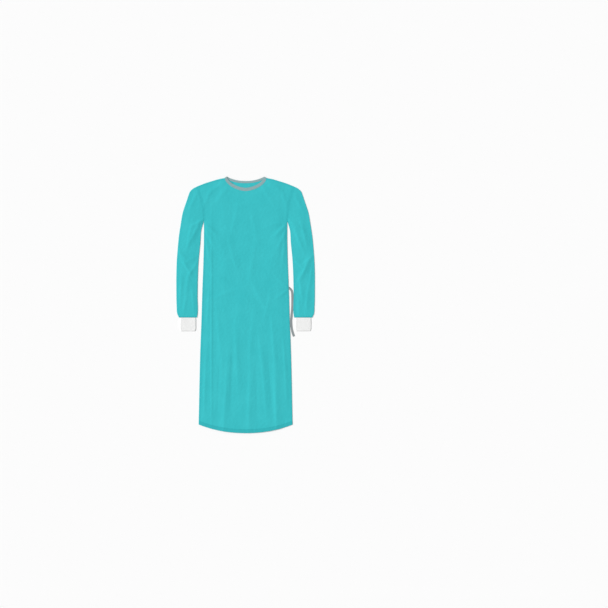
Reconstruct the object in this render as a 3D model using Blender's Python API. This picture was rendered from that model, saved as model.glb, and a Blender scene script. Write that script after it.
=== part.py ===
"""Surgical gown, laid flat on its back panels with its front up.

Metres, +Z up. The gown's middle line is the Y axis, the neck points along +Y, the hem along -Y,
and the wearer's left is at +X. The origin is on the surface it lies on, under its middle.
In the tables, across is the distance from the middle line and down the distance below the
tips of the neck.
"""

import math

import bmesh
import bpy
import numpy as np

# Cloth and layers
WALL = 0.0012
SEAM = 0.0003
LAYER = WALL + SEAM

# Main sizes
LENGTH = 1.282
SHOULDER_POINT = (0.2400, 0.0485)
ARMPIT = (0.2085, 0.2220)
HEM_CORNER = (0.2345, 1.2395)
HEM_POWER = 2.2
BACK_EDGE = 0.060
BACK_UNDERLAP = 0.080

# Neck: the binding's outer edge is sewn to the panels, and its inner edge is the open neck
NECK_SEAM = (0.1030, 0.0070)
NECK_TIP = (0.0920, 0.0013)
FRONT_SEAM_DOWN = 0.0710
FRONT_EDGE_DOWN = 0.0560
FRONT_NECK_POWER = 1.7
BACK_SEAM_DOWN = 0.0320
BACK_EDGE_DOWN = 0.0220
BACK_NECK_POWER = 2.3

# Softness of the front layer: it rises over the width of PUFF_REACH from every folded edge
PUFF = 0.0012
PUFF_REACH = 0.040

# Outlines of the right half, top to bottom (columns: across, down)
SHOULDER = (
    SHOULDER_POINT,
    (0.2250, 0.0425),
    (0.2000, 0.0330),
    (0.1650, 0.0220),
    (0.1380, 0.0140),
    NECK_SEAM,
)
ARMHOLE = (
    SHOULDER_POINT,
    (0.2300, 0.0870),
    (0.2180, 0.1320),
    (0.2110, 0.1770),
    ARMPIT,
)
BODY_SIDE = (
    ARMPIT,
    (0.2080, 0.2670),
    (0.2105, 0.4170),
    (0.2160, 0.5670),
    (0.2205, 0.7170),
    (0.2260, 0.8670),
    (0.2300, 1.0170),
    (0.2330, 1.1670),
    HEM_CORNER,
)
SLEEVE_OUTER = (
    SHOULDER_POINT,
    (0.2620, 0.0600),
    (0.2770, 0.0740),
    (0.2860, 0.0960),
    (0.2930, 0.1170),
    (0.3015, 0.1420),
    (0.3130, 0.1770),
    (0.3240, 0.2370),
    (0.3330, 0.2970),
    (0.3390, 0.3570),
    (0.3435, 0.4170),
    (0.3460, 0.4970),
    (0.3460, 0.5700),
    (0.3445, 0.6470),
    (0.3410, 0.6870),
    (0.3330, 0.7045),
)
SLEEVE_INNER = (
    ARMPIT,
    (0.2215, 0.2670),
    (0.2260, 0.3270),
    (0.2345, 0.4170),
    (0.2390, 0.5200),
    (0.2400, 0.6000),
    (0.2400, 0.6870),
    (0.2430, 0.7045),
)

# Soft folds of the front layer (columns: across with its side's sign, down, half length,
# half width, height, and turn in degrees from the gown's length toward +X)
FOLDS = (
    (-0.165, 0.290, 0.080, 0.024, 0.0016, -38),
    (-0.120, 0.380, 0.110, 0.030, 0.0009, -22),
    (0.170, 0.300, 0.070, 0.024, 0.0015, 42),
    (0.135, 0.420, 0.120, 0.032, 0.0010, 16),
    (-0.030, 0.700, 0.190, 0.034, 0.0011, 5),
    (0.080, 0.860, 0.170, 0.030, 0.0010, -7),
    (-0.120, 0.980, 0.180, 0.032, 0.0012, 3),
    (0.160, 1.080, 0.130, 0.028, 0.0011, -3),
    (-0.270, 0.290, 0.075, 0.022, 0.0014, 34),
    (-0.300, 0.480, 0.060, 0.020, 0.0012, -28),
    (0.274, 0.280, 0.080, 0.022, 0.0013, -38),
    (0.300, 0.450, 0.065, 0.020, 0.0013, 24),
)

# Knitted cuffs
CUFF_MIDDLE = 0.2880
CUFF_WALL = 0.0015
CUFF_INSIDE = 0.0005
CUFF_RIBS = 20
RIB_HEIGHT = 0.0005
CUFF_ROWS = (
    # half width, down
    (0.0385, 0.7048),
    (0.0388, 0.7200),
    (0.0390, 0.7450),
    (0.0385, 0.7620),
    (0.0345, 0.7720),
)

# Waist ties of flat tape (columns: across, down)
TIE_WIDTH = 0.011
TIE_THICKNESS = 0.0010
TIE_CUT_REACH = 0.014
SIDE_TIE = (
    (0.2172, 0.5570),
    (0.2222, 0.5605),
    (0.2272, 0.5655),
    (0.2310, 0.5730),
    (0.2331, 0.5830),
    (0.2337, 0.5960),
    (0.2338, 0.6180),
    (0.2336, 0.6420),
    (0.2328, 0.6640),
    (0.2310, 0.6830),
    (0.2291, 0.7000),
    (0.2281, 0.7180),
    (0.2283, 0.7370),
    (0.2302, 0.7570),
    (0.2345, 0.7780),
    (0.2420, 0.7990),
)
BACK_TIE = (
    (0.0605, 0.5510),
    (0.0720, 0.5515),
    (0.0900, 0.5580),
    (0.1060, 0.5740),
    (0.1140, 0.6000),
    (0.1130, 0.6450),
    (0.1060, 0.6950),
    (0.0960, 0.7300),
    (0.0930, 0.7550),
    (0.0990, 0.7800),
)

# Mesh steps
ARMHOLE_STEPS = 8
SIDE_STEPS = 30
SHOULDER_STEPS = 6
FRONT_NECK_STEPS = 16
BACK_NECK_STEPS = 9
SLEEVE_STEPS = 17
TIE_STEPS = 26
TIP_STEPS = 4
CURVE_STEPS = 16

# Colours, roughness and metallic values
FABRIC = ("teal nonwoven cloth", (0.050, 0.527, 0.565, 1.0), 0.80, 0.0)
KNIT = ("white rib knit", (0.88, 0.88, 0.87, 1.0), 0.90, 0.0)
BINDING = ("pale grey binding", (0.40, 0.47, 0.49, 1.0), 0.85, 0.0)
TAPE = ("grey tape", (0.32, 0.35, 0.36, 1.0), 0.85, 0.0)


def clear_scene():
    """Removes every object the file opened with."""
    for old in list(bpy.data.objects):
        bpy.data.objects.remove(old, do_unlink=True)


def make_material(piece, finish):
    """A material of the piece's own, from a finish's name, colour, roughness and metallic value."""
    label, colour, roughness, metallic = finish
    material = bpy.data.materials.new(f"{label} of {piece}")
    material.use_nodes = True
    shader = material.node_tree.nodes["Principled BSDF"]
    shader.inputs["Base Color"].default_value = colour
    shader.inputs["Roughness"].default_value = roughness
    shader.inputs["Metallic"].default_value = metallic
    material.diffuse_color = colour
    return material


def add_piece(name, vertices, faces, finish):
    """One closed solid with its faces turned outward, under the gown's empty."""
    mesh = bpy.data.meshes.new(name)
    mesh.from_pydata([tuple(v) for v in vertices], [], faces)
    shell = bmesh.new()
    shell.from_mesh(mesh)
    bmesh.ops.recalc_face_normals(shell, faces=shell.faces)
    shell.to_mesh(mesh)
    shell.free()
    mesh.shade_smooth()
    mesh.set_sharp_from_angle(angle=math.radians(40))
    piece = bpy.data.objects.new(name, mesh)
    piece.data.materials.append(make_material(name, finish))
    piece.parent = gown
    bpy.context.scene.collection.objects.link(piece)
    return piece


def rise(value, low, high):
    """0 below low, 1 above high and a soft S between them."""
    t = np.clip((value - low) / (high - low), 0.0, 1.0)
    return t * t * (3.0 - 2.0 * t)


def smooth_curve(table, steps):
    """Points at equal steps along one smooth curve through a table's rows."""
    rows = np.array(table, dtype=float)
    at = np.concatenate(([0.0], np.cumsum(np.linalg.norm(np.diff(rows, axis=0), axis=1))))
    slope = np.gradient(rows, at, axis=0)
    dense = []
    for k in range(len(rows) - 1):
        span = at[k + 1] - at[k]
        t = np.linspace(0.0, 1.0, CURVE_STEPS, endpoint=False)[:, None]
        dense.append(
            (2 * t**3 - 3 * t**2 + 1) * rows[k]
            + (t**3 - 2 * t**2 + t) * span * slope[k]
            + (3 * t**2 - 2 * t**3) * rows[k + 1]
            + (t**3 - t**2) * span * slope[k + 1]
        )
    dense = np.vstack(dense + [rows[-1:]])
    length = np.concatenate(([0.0], np.cumsum(np.linalg.norm(np.diff(dense, axis=0), axis=1))))
    wanted = np.linspace(0.0, length[-1], steps + 1)
    return np.column_stack([np.interp(wanted, length, dense[:, c]) for c in (0, 1)])


def mirrored(points):
    """The same points on the gown's other half."""
    return points * np.array([-1.0, 1.0])


def to_xy(points):
    """Turns (across, down) into X and Y."""
    return np.stack([points[..., 0], LENGTH / 2 - points[..., 1]], axis=-1)


def patch(top, bottom, left, right, s, t):
    """Fills four edges: the sum of both ruled surfaces less the one through the corners."""
    s = s[None, :, None]
    t = t[:, None, None]
    ruled = (1 - t) * top[None] + t * bottom[None] + (1 - s) * left[:, None] + s * right[:, None]
    corners = (
        (1 - t) * (1 - s) * top[0]
        + (1 - t) * s * top[-1]
        + t * (1 - s) * bottom[0]
        + t * s * bottom[-1]
    )
    return ruled - corners


def share(values):
    """Each value's share of the way from the first to the last."""
    return (values - values[0]) / (values[-1] - values[0])


def front_neck(depth, centre, count):
    """Half a rounded V from tip to tip: a superellipse about centre, depth below the tips."""
    angle = np.linspace(-math.pi / 2, math.pi / 2, count + 1)
    power = 2.0 / FRONT_NECK_POWER
    across = centre[0] * np.sign(np.sin(angle)) * np.abs(np.sin(angle)) ** power
    down = centre[1] + (depth - centre[1]) * np.abs(np.cos(angle)) ** power
    return np.column_stack([across, down])


def back_neck(across, depth, centre):
    """A shallow curve: depth on the middle line, rising by a power of across to the tips."""
    down = depth - (depth - centre[1]) * np.abs(across / centre[0]) ** BACK_NECK_POWER
    return np.column_stack([across, down])


def hem_curve(across):
    """The hem's line, lowest on the middle line and rising by a power of across."""
    rise_at = np.abs(across / HEM_CORNER[0]) ** HEM_POWER
    return np.column_stack([across, LENGTH - (LENGTH - HEM_CORNER[1]) * rise_at])


def outline_segments():
    """Both halves' folded edges and free edges, as pairs of end points in X and Y."""
    half = [
        smooth_curve(SHOULDER, 8),
        smooth_curve(BODY_SIDE, 16),
        smooth_curve(SLEEVE_OUTER, 30),
        smooth_curve(SLEEVE_INNER, 20),
    ]
    runs = half + [mirrored(run) for run in half]
    runs.append(front_neck(FRONT_SEAM_DOWN, NECK_SEAM, 20))
    runs.append(hem_curve(np.linspace(-HEM_CORNER[0], HEM_CORNER[0], 21)))
    runs = [to_xy(run) for run in runs]
    return np.vstack([run[:-1] for run in runs]), np.vstack([run[1:] for run in runs])


def edge_distance(xy):
    """Distance of each point from the nearest edge of the gown's outline."""
    start, end = OUTLINE
    along = end - start
    offset = xy[..., None, :] - start
    t = np.clip((offset * along).sum(-1) / (along**2).sum(-1), 0.0, 1.0)
    return np.linalg.norm(offset - t[..., None] * along, axis=-1).min(-1)


def stack_height(x):
    """How high the back panels push the front's underside: two layers in the middle, one beyond."""
    return LAYER + LAYER * rise(x, -0.150, -0.100) * (1 - rise(x, 0.150, 0.200))


def lift(xy):
    """Height of the front layer's underside: the stack, a soft rise from the edges and the folds."""
    inside = edge_distance(xy)
    height = stack_height(xy[..., 0]) + PUFF * rise(inside, 0.0, PUFF_REACH)
    fade = rise(inside, 0.0, PUFF_REACH / 2)
    for across, down, half_length, half_width, top, turn in FOLDS:
        offset = xy - np.array([across, LENGTH / 2 - down])
        turned = math.radians(turn)
        along = offset[..., 1] * math.cos(turned) + offset[..., 0] * math.sin(turned)
        side = offset[..., 0] * math.cos(turned) - offset[..., 1] * math.sin(turned)
        bell = np.exp(-((along / half_length) ** 2) - (side / half_width) ** 2)
        height = height + top * bell * fade
    return height


def under_left_height(x):
    """Underside of the left back panel: over the right one and its tie, then down on the surface."""
    return LAYER * (1 - rise(x, 0.125, 0.160))


def with_height(xy, z):
    """Joins X and Y with a height."""
    return np.dstack([xy, np.broadcast_to(z, xy.shape[:2])])


def grid_solid(name, under, over, finish):
    """A wall between two grids of points, closed by a rim all round."""
    rows, columns = under.shape[:2]
    index = np.arange(rows * columns).reshape(rows, columns)
    top = index + rows * columns
    faces = []
    for i in range(rows - 1):
        for j in range(columns - 1):
            faces.append((index[i, j], index[i, j + 1], index[i + 1, j + 1], index[i + 1, j]))
            faces.append((top[i, j], top[i + 1, j], top[i + 1, j + 1], top[i, j + 1]))
    rim = np.concatenate([index[0, :-1], index[:-1, -1], index[-1, :0:-1], index[:0:-1, 0]])
    for a, b in zip(rim, np.roll(rim, -1)):
        faces.append((a, b, b + rows * columns, a + rows * columns))
    faces = [tuple(int(k) for k in face) for face in faces]
    vertices = np.vstack([under.reshape(-1, 3), over.reshape(-1, 3)])
    return add_piece(name, vertices, faces, finish)


def tube_solid(name, outer, inner, finish):
    """An open tube's wall between outer and inner rings, with a rim at each end."""
    rings, around = outer.shape[:2]
    index = np.arange(rings * around).reshape(rings, around)
    shift = rings * around
    faces = []
    for k in range(around):
        n = (k + 1) % around
        for i in range(rings - 1):
            faces.append((index[i, k], index[i, n], index[i + 1, n], index[i + 1, k]))
            faces.append(tuple(shift + f for f in faces[-1][::-1]))
        for i in (0, rings - 1):
            faces.append((index[i, k], index[i, n], shift + index[i, n], shift + index[i, k]))
    faces = [tuple(int(k) for k in face) for face in faces]
    vertices = np.vstack([outer.reshape(-1, 3), inner.reshape(-1, 3)])
    return add_piece(name, vertices, faces, finish)


def panel_side():
    """A body panel's side: its armhole and then its side seam."""
    armhole = smooth_curve(ARMHOLE, ARMHOLE_STEPS)
    return np.vstack([armhole, smooth_curve(BODY_SIDE, SIDE_STEPS)[1:]])


def front_panel():
    """Front: one piece from the shoulders and neck down to the hem."""
    neck = front_neck(FRONT_SEAM_DOWN, NECK_SEAM, FRONT_NECK_STEPS)
    shoulder = smooth_curve(SHOULDER, SHOULDER_STEPS)
    top = np.vstack([mirrored(shoulder)[:-1], neck, shoulder[::-1][1:]])
    bottom = hem_curve(top[:, 0] * HEM_CORNER[0] / SHOULDER_POINT[0])
    right = panel_side()
    xy = to_xy(patch(top, bottom, mirrored(right), right, share(top[:, 0]), share(right[:, 1])))
    under = lift(xy)
    grid_solid("front_panel", with_height(xy, under), with_height(xy, under + WALL), FABRIC)


def back_half(name, side, inner_edge, height):
    """Back panel on one side of the gown, from its side seam to inner_edge past the middle."""
    outer = panel_side()
    shoulder = smooth_curve(SHOULDER, SHOULDER_STEPS)
    neck_across = np.linspace(NECK_SEAM[0], -inner_edge, BACK_NECK_STEPS + 1)
    neck = back_neck(neck_across, BACK_SEAM_DOWN, NECK_SEAM)
    top = np.vstack([shoulder, neck[1:]])
    s = share(top[:, 0])
    bottom = hem_curve(HEM_CORNER[0] + s * (-inner_edge - HEM_CORNER[0]))
    t = share(outer[:, 1])
    edge_down = top[-1, 1] + t * (bottom[-1, 1] - top[-1, 1])
    edge = np.column_stack([np.full(len(t), -inner_edge), edge_down])
    xy = to_xy(patch(top, bottom, outer, edge, s, t) * np.array([side, 1.0]))
    under = height(xy[..., 0])
    grid_solid(name, with_height(xy, under), with_height(xy, under + WALL), FABRIC)


def folded_rings(xy, bottom_z, top_z, inset, fold):
    """Rings of a flattened tube: across the underside, round one fold, back over the top.

    inset is how far the ring's flat sides stop from the outline, and fold how far its ends do.
    """
    first = xy[:, 1] - xy[:, 0]
    last = xy[:, -2] - xy[:, -1]
    first = first / np.linalg.norm(first, axis=1)[:, None]
    last = last / np.linalg.norm(last, axis=1)[:, None]
    flat = xy.copy()
    flat[:, 0] += first * inset
    flat[:, -1] += last * inset
    middle = (bottom_z[:, [0, -1]] + top_z[:, [0, -1]]) / 2
    low = np.dstack([flat, bottom_z])
    high = np.dstack([flat, top_z])[:, ::-1]
    far = np.column_stack([xy[:, -1] + last * fold, middle[:, 1]])[:, None]
    near = np.column_stack([xy[:, 0] + first * fold, middle[:, 0]])[:, None]
    return np.concatenate([low, far, high, near], axis=1)


def sleeve(name, side):
    """Sleeve: a tube pressed flat, open at both ends, a seam's gap outside the armhole's line."""
    armhole = smooth_curve(ARMHOLE, ARMHOLE_STEPS)[::-1]
    inner = smooth_curve(SLEEVE_INNER, SLEEVE_STEPS)
    outer = smooth_curve(SLEEVE_OUTER, SLEEVE_STEPS)
    t = np.linspace(0.0, 1.0, ARMHOLE_STEPS + 1)
    end = inner[-1] + t[:, None] * (outer[-1] - inner[-1])
    rows = np.linspace(0.0, 1.0, SLEEVE_STEPS + 1)
    across_down = patch(armhole, end, inner, outer, t, rows) + np.array([SEAM, 0.0])
    xy = to_xy(across_down * np.array([side, 1.0]))
    under = lift(xy)
    floor = np.zeros(xy.shape[:2])
    shell = folded_rings(xy, floor, under + WALL, WALL * 0.8, 0.0)
    hollow = folded_rings(xy, floor + WALL, under, WALL * 1.8, WALL)
    tube_solid(name, shell, hollow, FABRIC)


def cuff(name, side):
    """Cuff: a knitted tube with ribs on its upper face, plain inside and flat underneath."""
    rows = np.array(CUFF_ROWS)
    columns = CUFF_RIBS * 2 + 1
    t = np.linspace(-1.0, 1.0, columns)
    across = CUFF_MIDDLE + t[None, :] * rows[:, :1]
    down = np.repeat(rows[:, 1:], columns, axis=1) + SEAM
    xy = to_xy(np.dstack([across * side, down]))
    ribs = RIB_HEIGHT * (np.arange(columns) % 2)
    floor = np.zeros(xy.shape[:2])
    inside = floor + CUFF_WALL + CUFF_INSIDE
    shell = folded_rings(xy, floor, inside + CUFF_WALL + ribs, CUFF_WALL * 0.5, 0.0)
    hollow = folded_rings(xy, floor + CUFF_WALL, inside, CUFF_WALL * 1.4, CUFF_WALL * 0.9)
    tube_solid(name, shell, hollow, KNIT)


def tip_fold(side, z_back, z_front):
    """Stations where the binding turns round a neck tip, from the back's layer to the front's."""
    seam = to_xy(np.array([NECK_SEAM[0] * side, NECK_SEAM[1]]))
    tip = to_xy(np.array([NECK_TIP[0] * side, NECK_TIP[1]]))
    crease = (tip - seam) / np.linalg.norm(tip - seam)
    outward = np.array([crease[1] * side, -crease[0] * side])
    stations = []
    for k in range(1, TIP_STEPS):
        angle = math.pi * k / TIP_STEPS
        radius = (z_front - z_back) / 2
        reach = outward * radius * math.sin(angle)
        height = z_back + radius * (1 - math.cos(angle))
        normal = np.array([*(outward * math.sin(angle)), -math.cos(angle)])
        ends = [np.array([*(point + reach), height]) for point in (seam, tip)]
        stations.append((*ends, normal))
    return stations


def neck_binding():
    """Binding: one strip from the right back edge round the front neck to the left back edge."""
    up = np.array([0.0, 0.0, 1.0])
    z_right = WALL / 2
    z_left = LAYER + WALL / 2
    z_tips = stack_height(np.array([-NECK_SEAM[0], NECK_SEAM[0]])) + WALL / 2

    def back_run(side, edge, height):
        seam_across = np.linspace(-edge, NECK_SEAM[0], BACK_NECK_STEPS + 1)
        free_across = np.linspace(-edge, NECK_TIP[0], BACK_NECK_STEPS + 1)
        seam = back_neck(seam_across, BACK_SEAM_DOWN, NECK_SEAM) - np.array([0.0, SEAM * 1.2])
        free = back_neck(free_across, BACK_EDGE_DOWN, NECK_TIP)
        flip = np.array([side, 1.0])
        ends = zip(to_xy(seam * flip), to_xy(free * flip))
        return [(np.array([*a, height]), np.array([*b, height]), -up) for a, b in ends]

    stations = back_run(-1, BACK_EDGE, z_right)
    stations += tip_fold(-1, z_right, z_tips[0])
    seam_centre = (NECK_SEAM[0] - SEAM, NECK_SEAM[1])
    seam = to_xy(front_neck(FRONT_SEAM_DOWN - SEAM, seam_centre, FRONT_NECK_STEPS))
    free = to_xy(front_neck(FRONT_EDGE_DOWN, NECK_TIP, FRONT_NECK_STEPS))
    for a, b in zip(seam, free):
        height = stack_height(a[0]) + WALL / 2
        stations.append((np.array([*a, height]), np.array([*b, height]), up))
    stations += tip_fold(1, z_left, z_tips[1])[::-1]
    stations += back_run(1, BACK_UNDERLAP, z_left)[::-1]
    outside = np.array([[a + n * WALL / 2, b + n * WALL / 2] for a, b, n in stations])
    inside = np.array([[a - n * WALL / 2, b - n * WALL / 2] for a, b, n in stations])
    grid_solid("neck_binding", inside, outside, BINDING)


def waist_tie(name, table):
    """Tie: flat tape laid along its table's line, cut along the seam it starts at and square at its end."""
    line = to_xy(smooth_curve(table, TIE_STEPS))
    along = np.gradient(line, axis=0)
    along = along / np.linalg.norm(along, axis=1)[:, None]
    half = np.column_stack([-along[:, 1], along[:, 0]]) * TIE_WIDTH / 2
    reach = np.linalg.norm(line - line[0], axis=1)
    slant = -along[:, 1] / along[0, 0] * (1 - rise(reach, 0.0, TIE_CUT_REACH))
    half = half - along * (slant * TIE_WIDTH / 2)[:, None]
    xy = np.stack([line - half, line + half], axis=1)
    grid_solid(name, with_height(xy, 0.0), with_height(xy, TIE_THICKNESS), TAPE)


clear_scene()
gown = bpy.data.objects.new("gown", None)
bpy.context.scene.collection.objects.link(gown)
OUTLINE = outline_segments()
back_half("back_panel_right", -1, BACK_EDGE, lambda x: np.zeros(x.shape))
back_half("back_panel_left", 1, BACK_UNDERLAP, under_left_height)
front_panel()
for side_name, side_sign in (("right", -1), ("left", 1)):
    sleeve(f"sleeve_{side_name}", side_sign)
    cuff(f"cuff_{side_name}", side_sign)
neck_binding()
waist_tie("waist_tie_side", SIDE_TIE)
waist_tie("waist_tie_back", BACK_TIE)
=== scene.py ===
import math

import bmesh
import bpy
import numpy as np
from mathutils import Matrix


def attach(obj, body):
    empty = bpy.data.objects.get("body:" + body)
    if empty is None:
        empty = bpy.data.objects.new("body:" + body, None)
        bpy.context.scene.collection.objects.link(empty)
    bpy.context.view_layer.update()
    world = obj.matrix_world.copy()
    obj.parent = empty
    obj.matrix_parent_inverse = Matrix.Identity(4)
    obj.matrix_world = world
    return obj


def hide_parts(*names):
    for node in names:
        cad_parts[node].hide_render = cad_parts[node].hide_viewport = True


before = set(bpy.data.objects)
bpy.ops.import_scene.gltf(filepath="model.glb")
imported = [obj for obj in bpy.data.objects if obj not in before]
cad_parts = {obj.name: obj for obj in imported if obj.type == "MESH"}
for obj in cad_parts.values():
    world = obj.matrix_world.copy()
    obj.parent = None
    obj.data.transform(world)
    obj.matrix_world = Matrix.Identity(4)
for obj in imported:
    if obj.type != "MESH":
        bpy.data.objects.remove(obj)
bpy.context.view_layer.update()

# Floor, light and camera. The gown lies flat, and the camera looks straight down on it through a
# long lens, from as far away as keeps every photo pixel at 5 mm of cloth. A soft sun from the
# upper left, a weaker one from the lower right and an even sky light it.
PIXEL = 0.005
FRAME_PIXELS = 608
GOWN_MIDDLE_PIXEL = 245.6
NECK_TIP_PIXEL = 176.6
LENGTH = 1.282
LENS_MM = 200.0
SENSOR_MM = 36.0
FLOOR_SIZE = 60.0
SKY_STRENGTH = 0.44
SUNS = (
    # name, strength, softness in degrees, elevation, azimuth that the light comes from
    ("key sun", 2.80, 14, 36, 160),
    ("fill sun", 0.37, 35, 45, -35),
)

scene = bpy.context.scene
scene.view_settings.view_transform = "Standard"
scene.view_settings.look = "None"

half_floor = FLOOR_SIZE / 2
floor_corners = [(-half_floor, -half_floor, 0), (half_floor, -half_floor, 0)]
floor_corners += [(half_floor, half_floor, 0), (-half_floor, half_floor, 0)]
floor_mesh = bpy.data.meshes.new("floor")
floor_mesh.from_pydata(floor_corners, [], [(0, 1, 2, 3)])
floor = bpy.data.objects.new("floor", floor_mesh)
scene.collection.objects.link(floor)
floor_finish = bpy.data.materials.new("pale floor")
floor_finish.use_nodes = True
floor_shader = floor_finish.node_tree.nodes["Principled BSDF"]
floor_shader.inputs["Base Color"].default_value = (0.93, 0.93, 0.93, 1.0)
floor_shader.inputs["Roughness"].default_value = 0.9
floor_shader.inputs["Specular IOR Level"].default_value = 0.1
floor.data.materials.append(floor_finish)

world = bpy.data.worlds.new("sky")
world.use_nodes = True
world.node_tree.nodes["Background"].inputs["Color"].default_value = (1.0, 1.0, 1.0, 1.0)
world.node_tree.nodes["Background"].inputs["Strength"].default_value = SKY_STRENGTH
scene.world = world
for name, strength, softness, elevation, azimuth in SUNS:
    light = bpy.data.lights.new(name, "SUN")
    light.energy = strength
    light.angle = math.radians(softness)
    sun = bpy.data.objects.new(name, light)
    sun.rotation_euler = (0.0, math.radians(90 - elevation), math.radians(azimuth))
    scene.collection.objects.link(sun)

lens = bpy.data.cameras.new("camera")
lens.lens = LENS_MM
lens.sensor_width = SENSOR_MM
lens.clip_end = 200.0
camera = bpy.data.objects.new("camera", lens)
frame_middle = FRAME_PIXELS / 2
camera.location = (
    (frame_middle - GOWN_MIDDLE_PIXEL) * PIXEL,
    LENGTH / 2 - (frame_middle - NECK_TIP_PIXEL) * PIXEL,
    FRAME_PIXELS * PIXEL * LENS_MM / SENSOR_MM,
)
scene.collection.objects.link(camera)
scene.camera = camera


# Back panel on the wearer's right: one cut of soft nonwoven cloth, from the side seam past the
# middle. It closes outermost, so with the front up it lies lowest, flat on the surface. Its hem
# and its free edge are turned to the inside and stitched.
CLOTH = 0.0008
SHOULDER_POINT = (0.2400, 0.0485)
ARMPIT = (0.2085, 0.2220)
HEM_CORNER = (0.2345, 1.2395)
HEM_POWER = 2.2
BACK_EDGE = 0.060
NECK_SEAM = (0.1030, 0.0070)
BACK_SEAM_DOWN = 0.0320
BACK_NECK_POWER = 2.3
SHOULDER = (
    # across, down from the neck's tips
    NECK_SEAM,
    (0.1380, 0.0140),
    (0.1650, 0.0220),
    (0.2000, 0.0330),
    (0.2250, 0.0425),
    SHOULDER_POINT,
)
ARMHOLE = (
    # across, down
    SHOULDER_POINT,
    (0.2300, 0.0870),
    (0.2180, 0.1320),
    (0.2110, 0.1770),
    ARMPIT,
)
BODY_SIDE = (
    # across, down
    ARMPIT,
    (0.2080, 0.2670),
    (0.2105, 0.4170),
    (0.2160, 0.5670),
    (0.2205, 0.7170),
    (0.2260, 0.8670),
    (0.2300, 1.0170),
    (0.2330, 1.1670),
    HEM_CORNER,
)
BACK_HOLLOWS = (
    # across signed, down, half length, half width, height, turn, bend
    (-0.150, 0.300, 0.070, 0.020, 0.00045, -35, 0.0),
    (-0.090, 0.520, 0.110, 0.018, 0.00040, 8, 0.4),
    (-0.020, 0.380, 0.090, 0.016, 0.00035, -12, 0.0),
    (-0.160, 0.800, 0.160, 0.018, 0.00045, 3, 0.1),
    (-0.060, 0.930, 0.190, 0.017, 0.00045, -4, -0.1),
    (-0.120, 1.100, 0.120, 0.016, 0.00035, 5, 0.0),
    (0.010, 1.060, 0.130, 0.018, 0.00040, 2, 0.2),
    (-0.180, 0.120, 0.050, 0.016, 0.00035, 40, 0.0),
    (0.150, 0.290, 0.075, 0.019, 0.00045, 38, 0.0),
    (0.190, 0.640, 0.100, 0.015, 0.00040, -4, 0.0),
    (0.110, 0.840, 0.170, 0.018, 0.00045, -5, 0.1),
    (0.185, 1.020, 0.150, 0.016, 0.00040, -2, 0.0),
    (0.090, 1.110, 0.100, 0.017, 0.00035, 6, 0.0),
    (0.160, 0.130, 0.060, 0.016, 0.00035, -45, 0.0),
)
# how far in from the edges the hollows reach their height, and how a fold leans and dies away
HOLLOW_EASE = 0.030
FOLD_LEAN = 0.25
FOLD_END_POWER = 2.6
# places of the grids' rows and columns, close together at an edge and about a hem's stitching
EDGE_STEPS = (0.00010, 0.00035, 0.00080, 0.00150, 0.00250, 0.00400)
HEM_STEPS = EDGE_STEPS + (
    0.0080, 0.0120, 0.0145, 0.0158, 0.0166, 0.0172, 0.0178, 0.0185, 0.0193, 0.0200, 0.0220
)
CLEAR_OF_FIRST = 1.2
CLEAR_OF_LAST = 1.1
CURVE_STEPS = 24
SHOULDER_COLUMNS = 16
INNER_COLUMNS = 30
BACK_ROWS = 200
SHARP_ANGLE = 55
# the turned hem, the rounded edges, and the seams with the cloth doubled behind them
HEM_DEPTH = 0.020
HEM_STEP = 0.0004
HEM_EASE = 0.0012
FOLD_ROUNDING = 0.0008
FOLD_SHARE = 0.45
SEAM_ROUNDING = 0.0014
SEAM_SHARE = 0.6
SEAM_ALLOWANCE = 0.009
SEAM_SHOW = 0.5
FAR_OFF = 1.0
# the stitching, the groove that it presses in and the waves that it draws up
STITCH_INSET = 0.0025
STITCH_PITCH = 0.0036
STITCH_LENGTH = 0.0028
STITCH_TAPER = 0.94
STITCH_SUNK = 0.4
THREAD = 0.00020
GROOVE_WIDTH = 0.0011
GROOVE_DEPTH = 0.0002
BACK_GROOVE = 0.00036
PUCKER_PITCH = 0.0145
PUCKER_DRIFT = 0.083
PUCKER_REACH = 0.009
PUCKER_EASE = 0.006
BACK_PUCKER = 0.00012
FREE_EDGE_SHIFT = 0.3


def rise(value, low, high):
    """0 below low and 1 above high, with the soft S 3t^2 - 2t^3 between."""
    t = np.clip((value - low) / (high - low), 0.0, 1.0)
    return t * t * (3.0 - 2.0 * t)


def round_off(depth, radius):
    """Height share of a rounded edge: a quarter circle, 0 at the edge and 1 from radius inward."""
    t = np.clip(depth / radius, 0.0, 1.0)
    return np.sqrt(1.0 - (1.0 - t) ** 2)


def run_length(points):
    """Length along a row of points, from 0 at the first: the running sum of its straight steps."""
    return np.concatenate(([0.0], np.cumsum(np.linalg.norm(np.diff(points, axis=0), axis=1))))


def dense_curve(table):
    """Many points along a smooth curve through a table's rows: a cubic between each two rows,
    with its slope at a row taken from the rows beside it."""
    rows = np.array(table, dtype=float)
    at = run_length(rows)
    slope = np.gradient(rows, at, axis=0)
    span = np.diff(at)[:, None, None]
    t = np.linspace(0.0, 1.0, CURVE_STEPS, endpoint=False)[None, :, None]
    curve = (
        (2 * t**3 - 3 * t**2 + 1) * rows[:-1, None]
        + (t**3 - 2 * t**2 + t) * span * slope[:-1, None]
        + (3 * t**2 - 2 * t**3) * rows[1:, None]
        + (t**3 - t**2) * span * slope[1:, None]
    )
    return np.vstack([curve.reshape(-1, rows.shape[1]), rows[-1:]])


def points_at(points, lengths):
    """Points at the given lengths along a row of points, straight between each two."""
    at = run_length(points)
    return np.column_stack([np.interp(lengths, at, column) for column in points.T])


def shoulder_down(across):
    """The shoulder line's distance down at each distance across, read off its smooth curve."""
    curve = dense_curve(SHOULDER)
    return np.interp(across, curve[:, 0], curve[:, 1])


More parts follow.
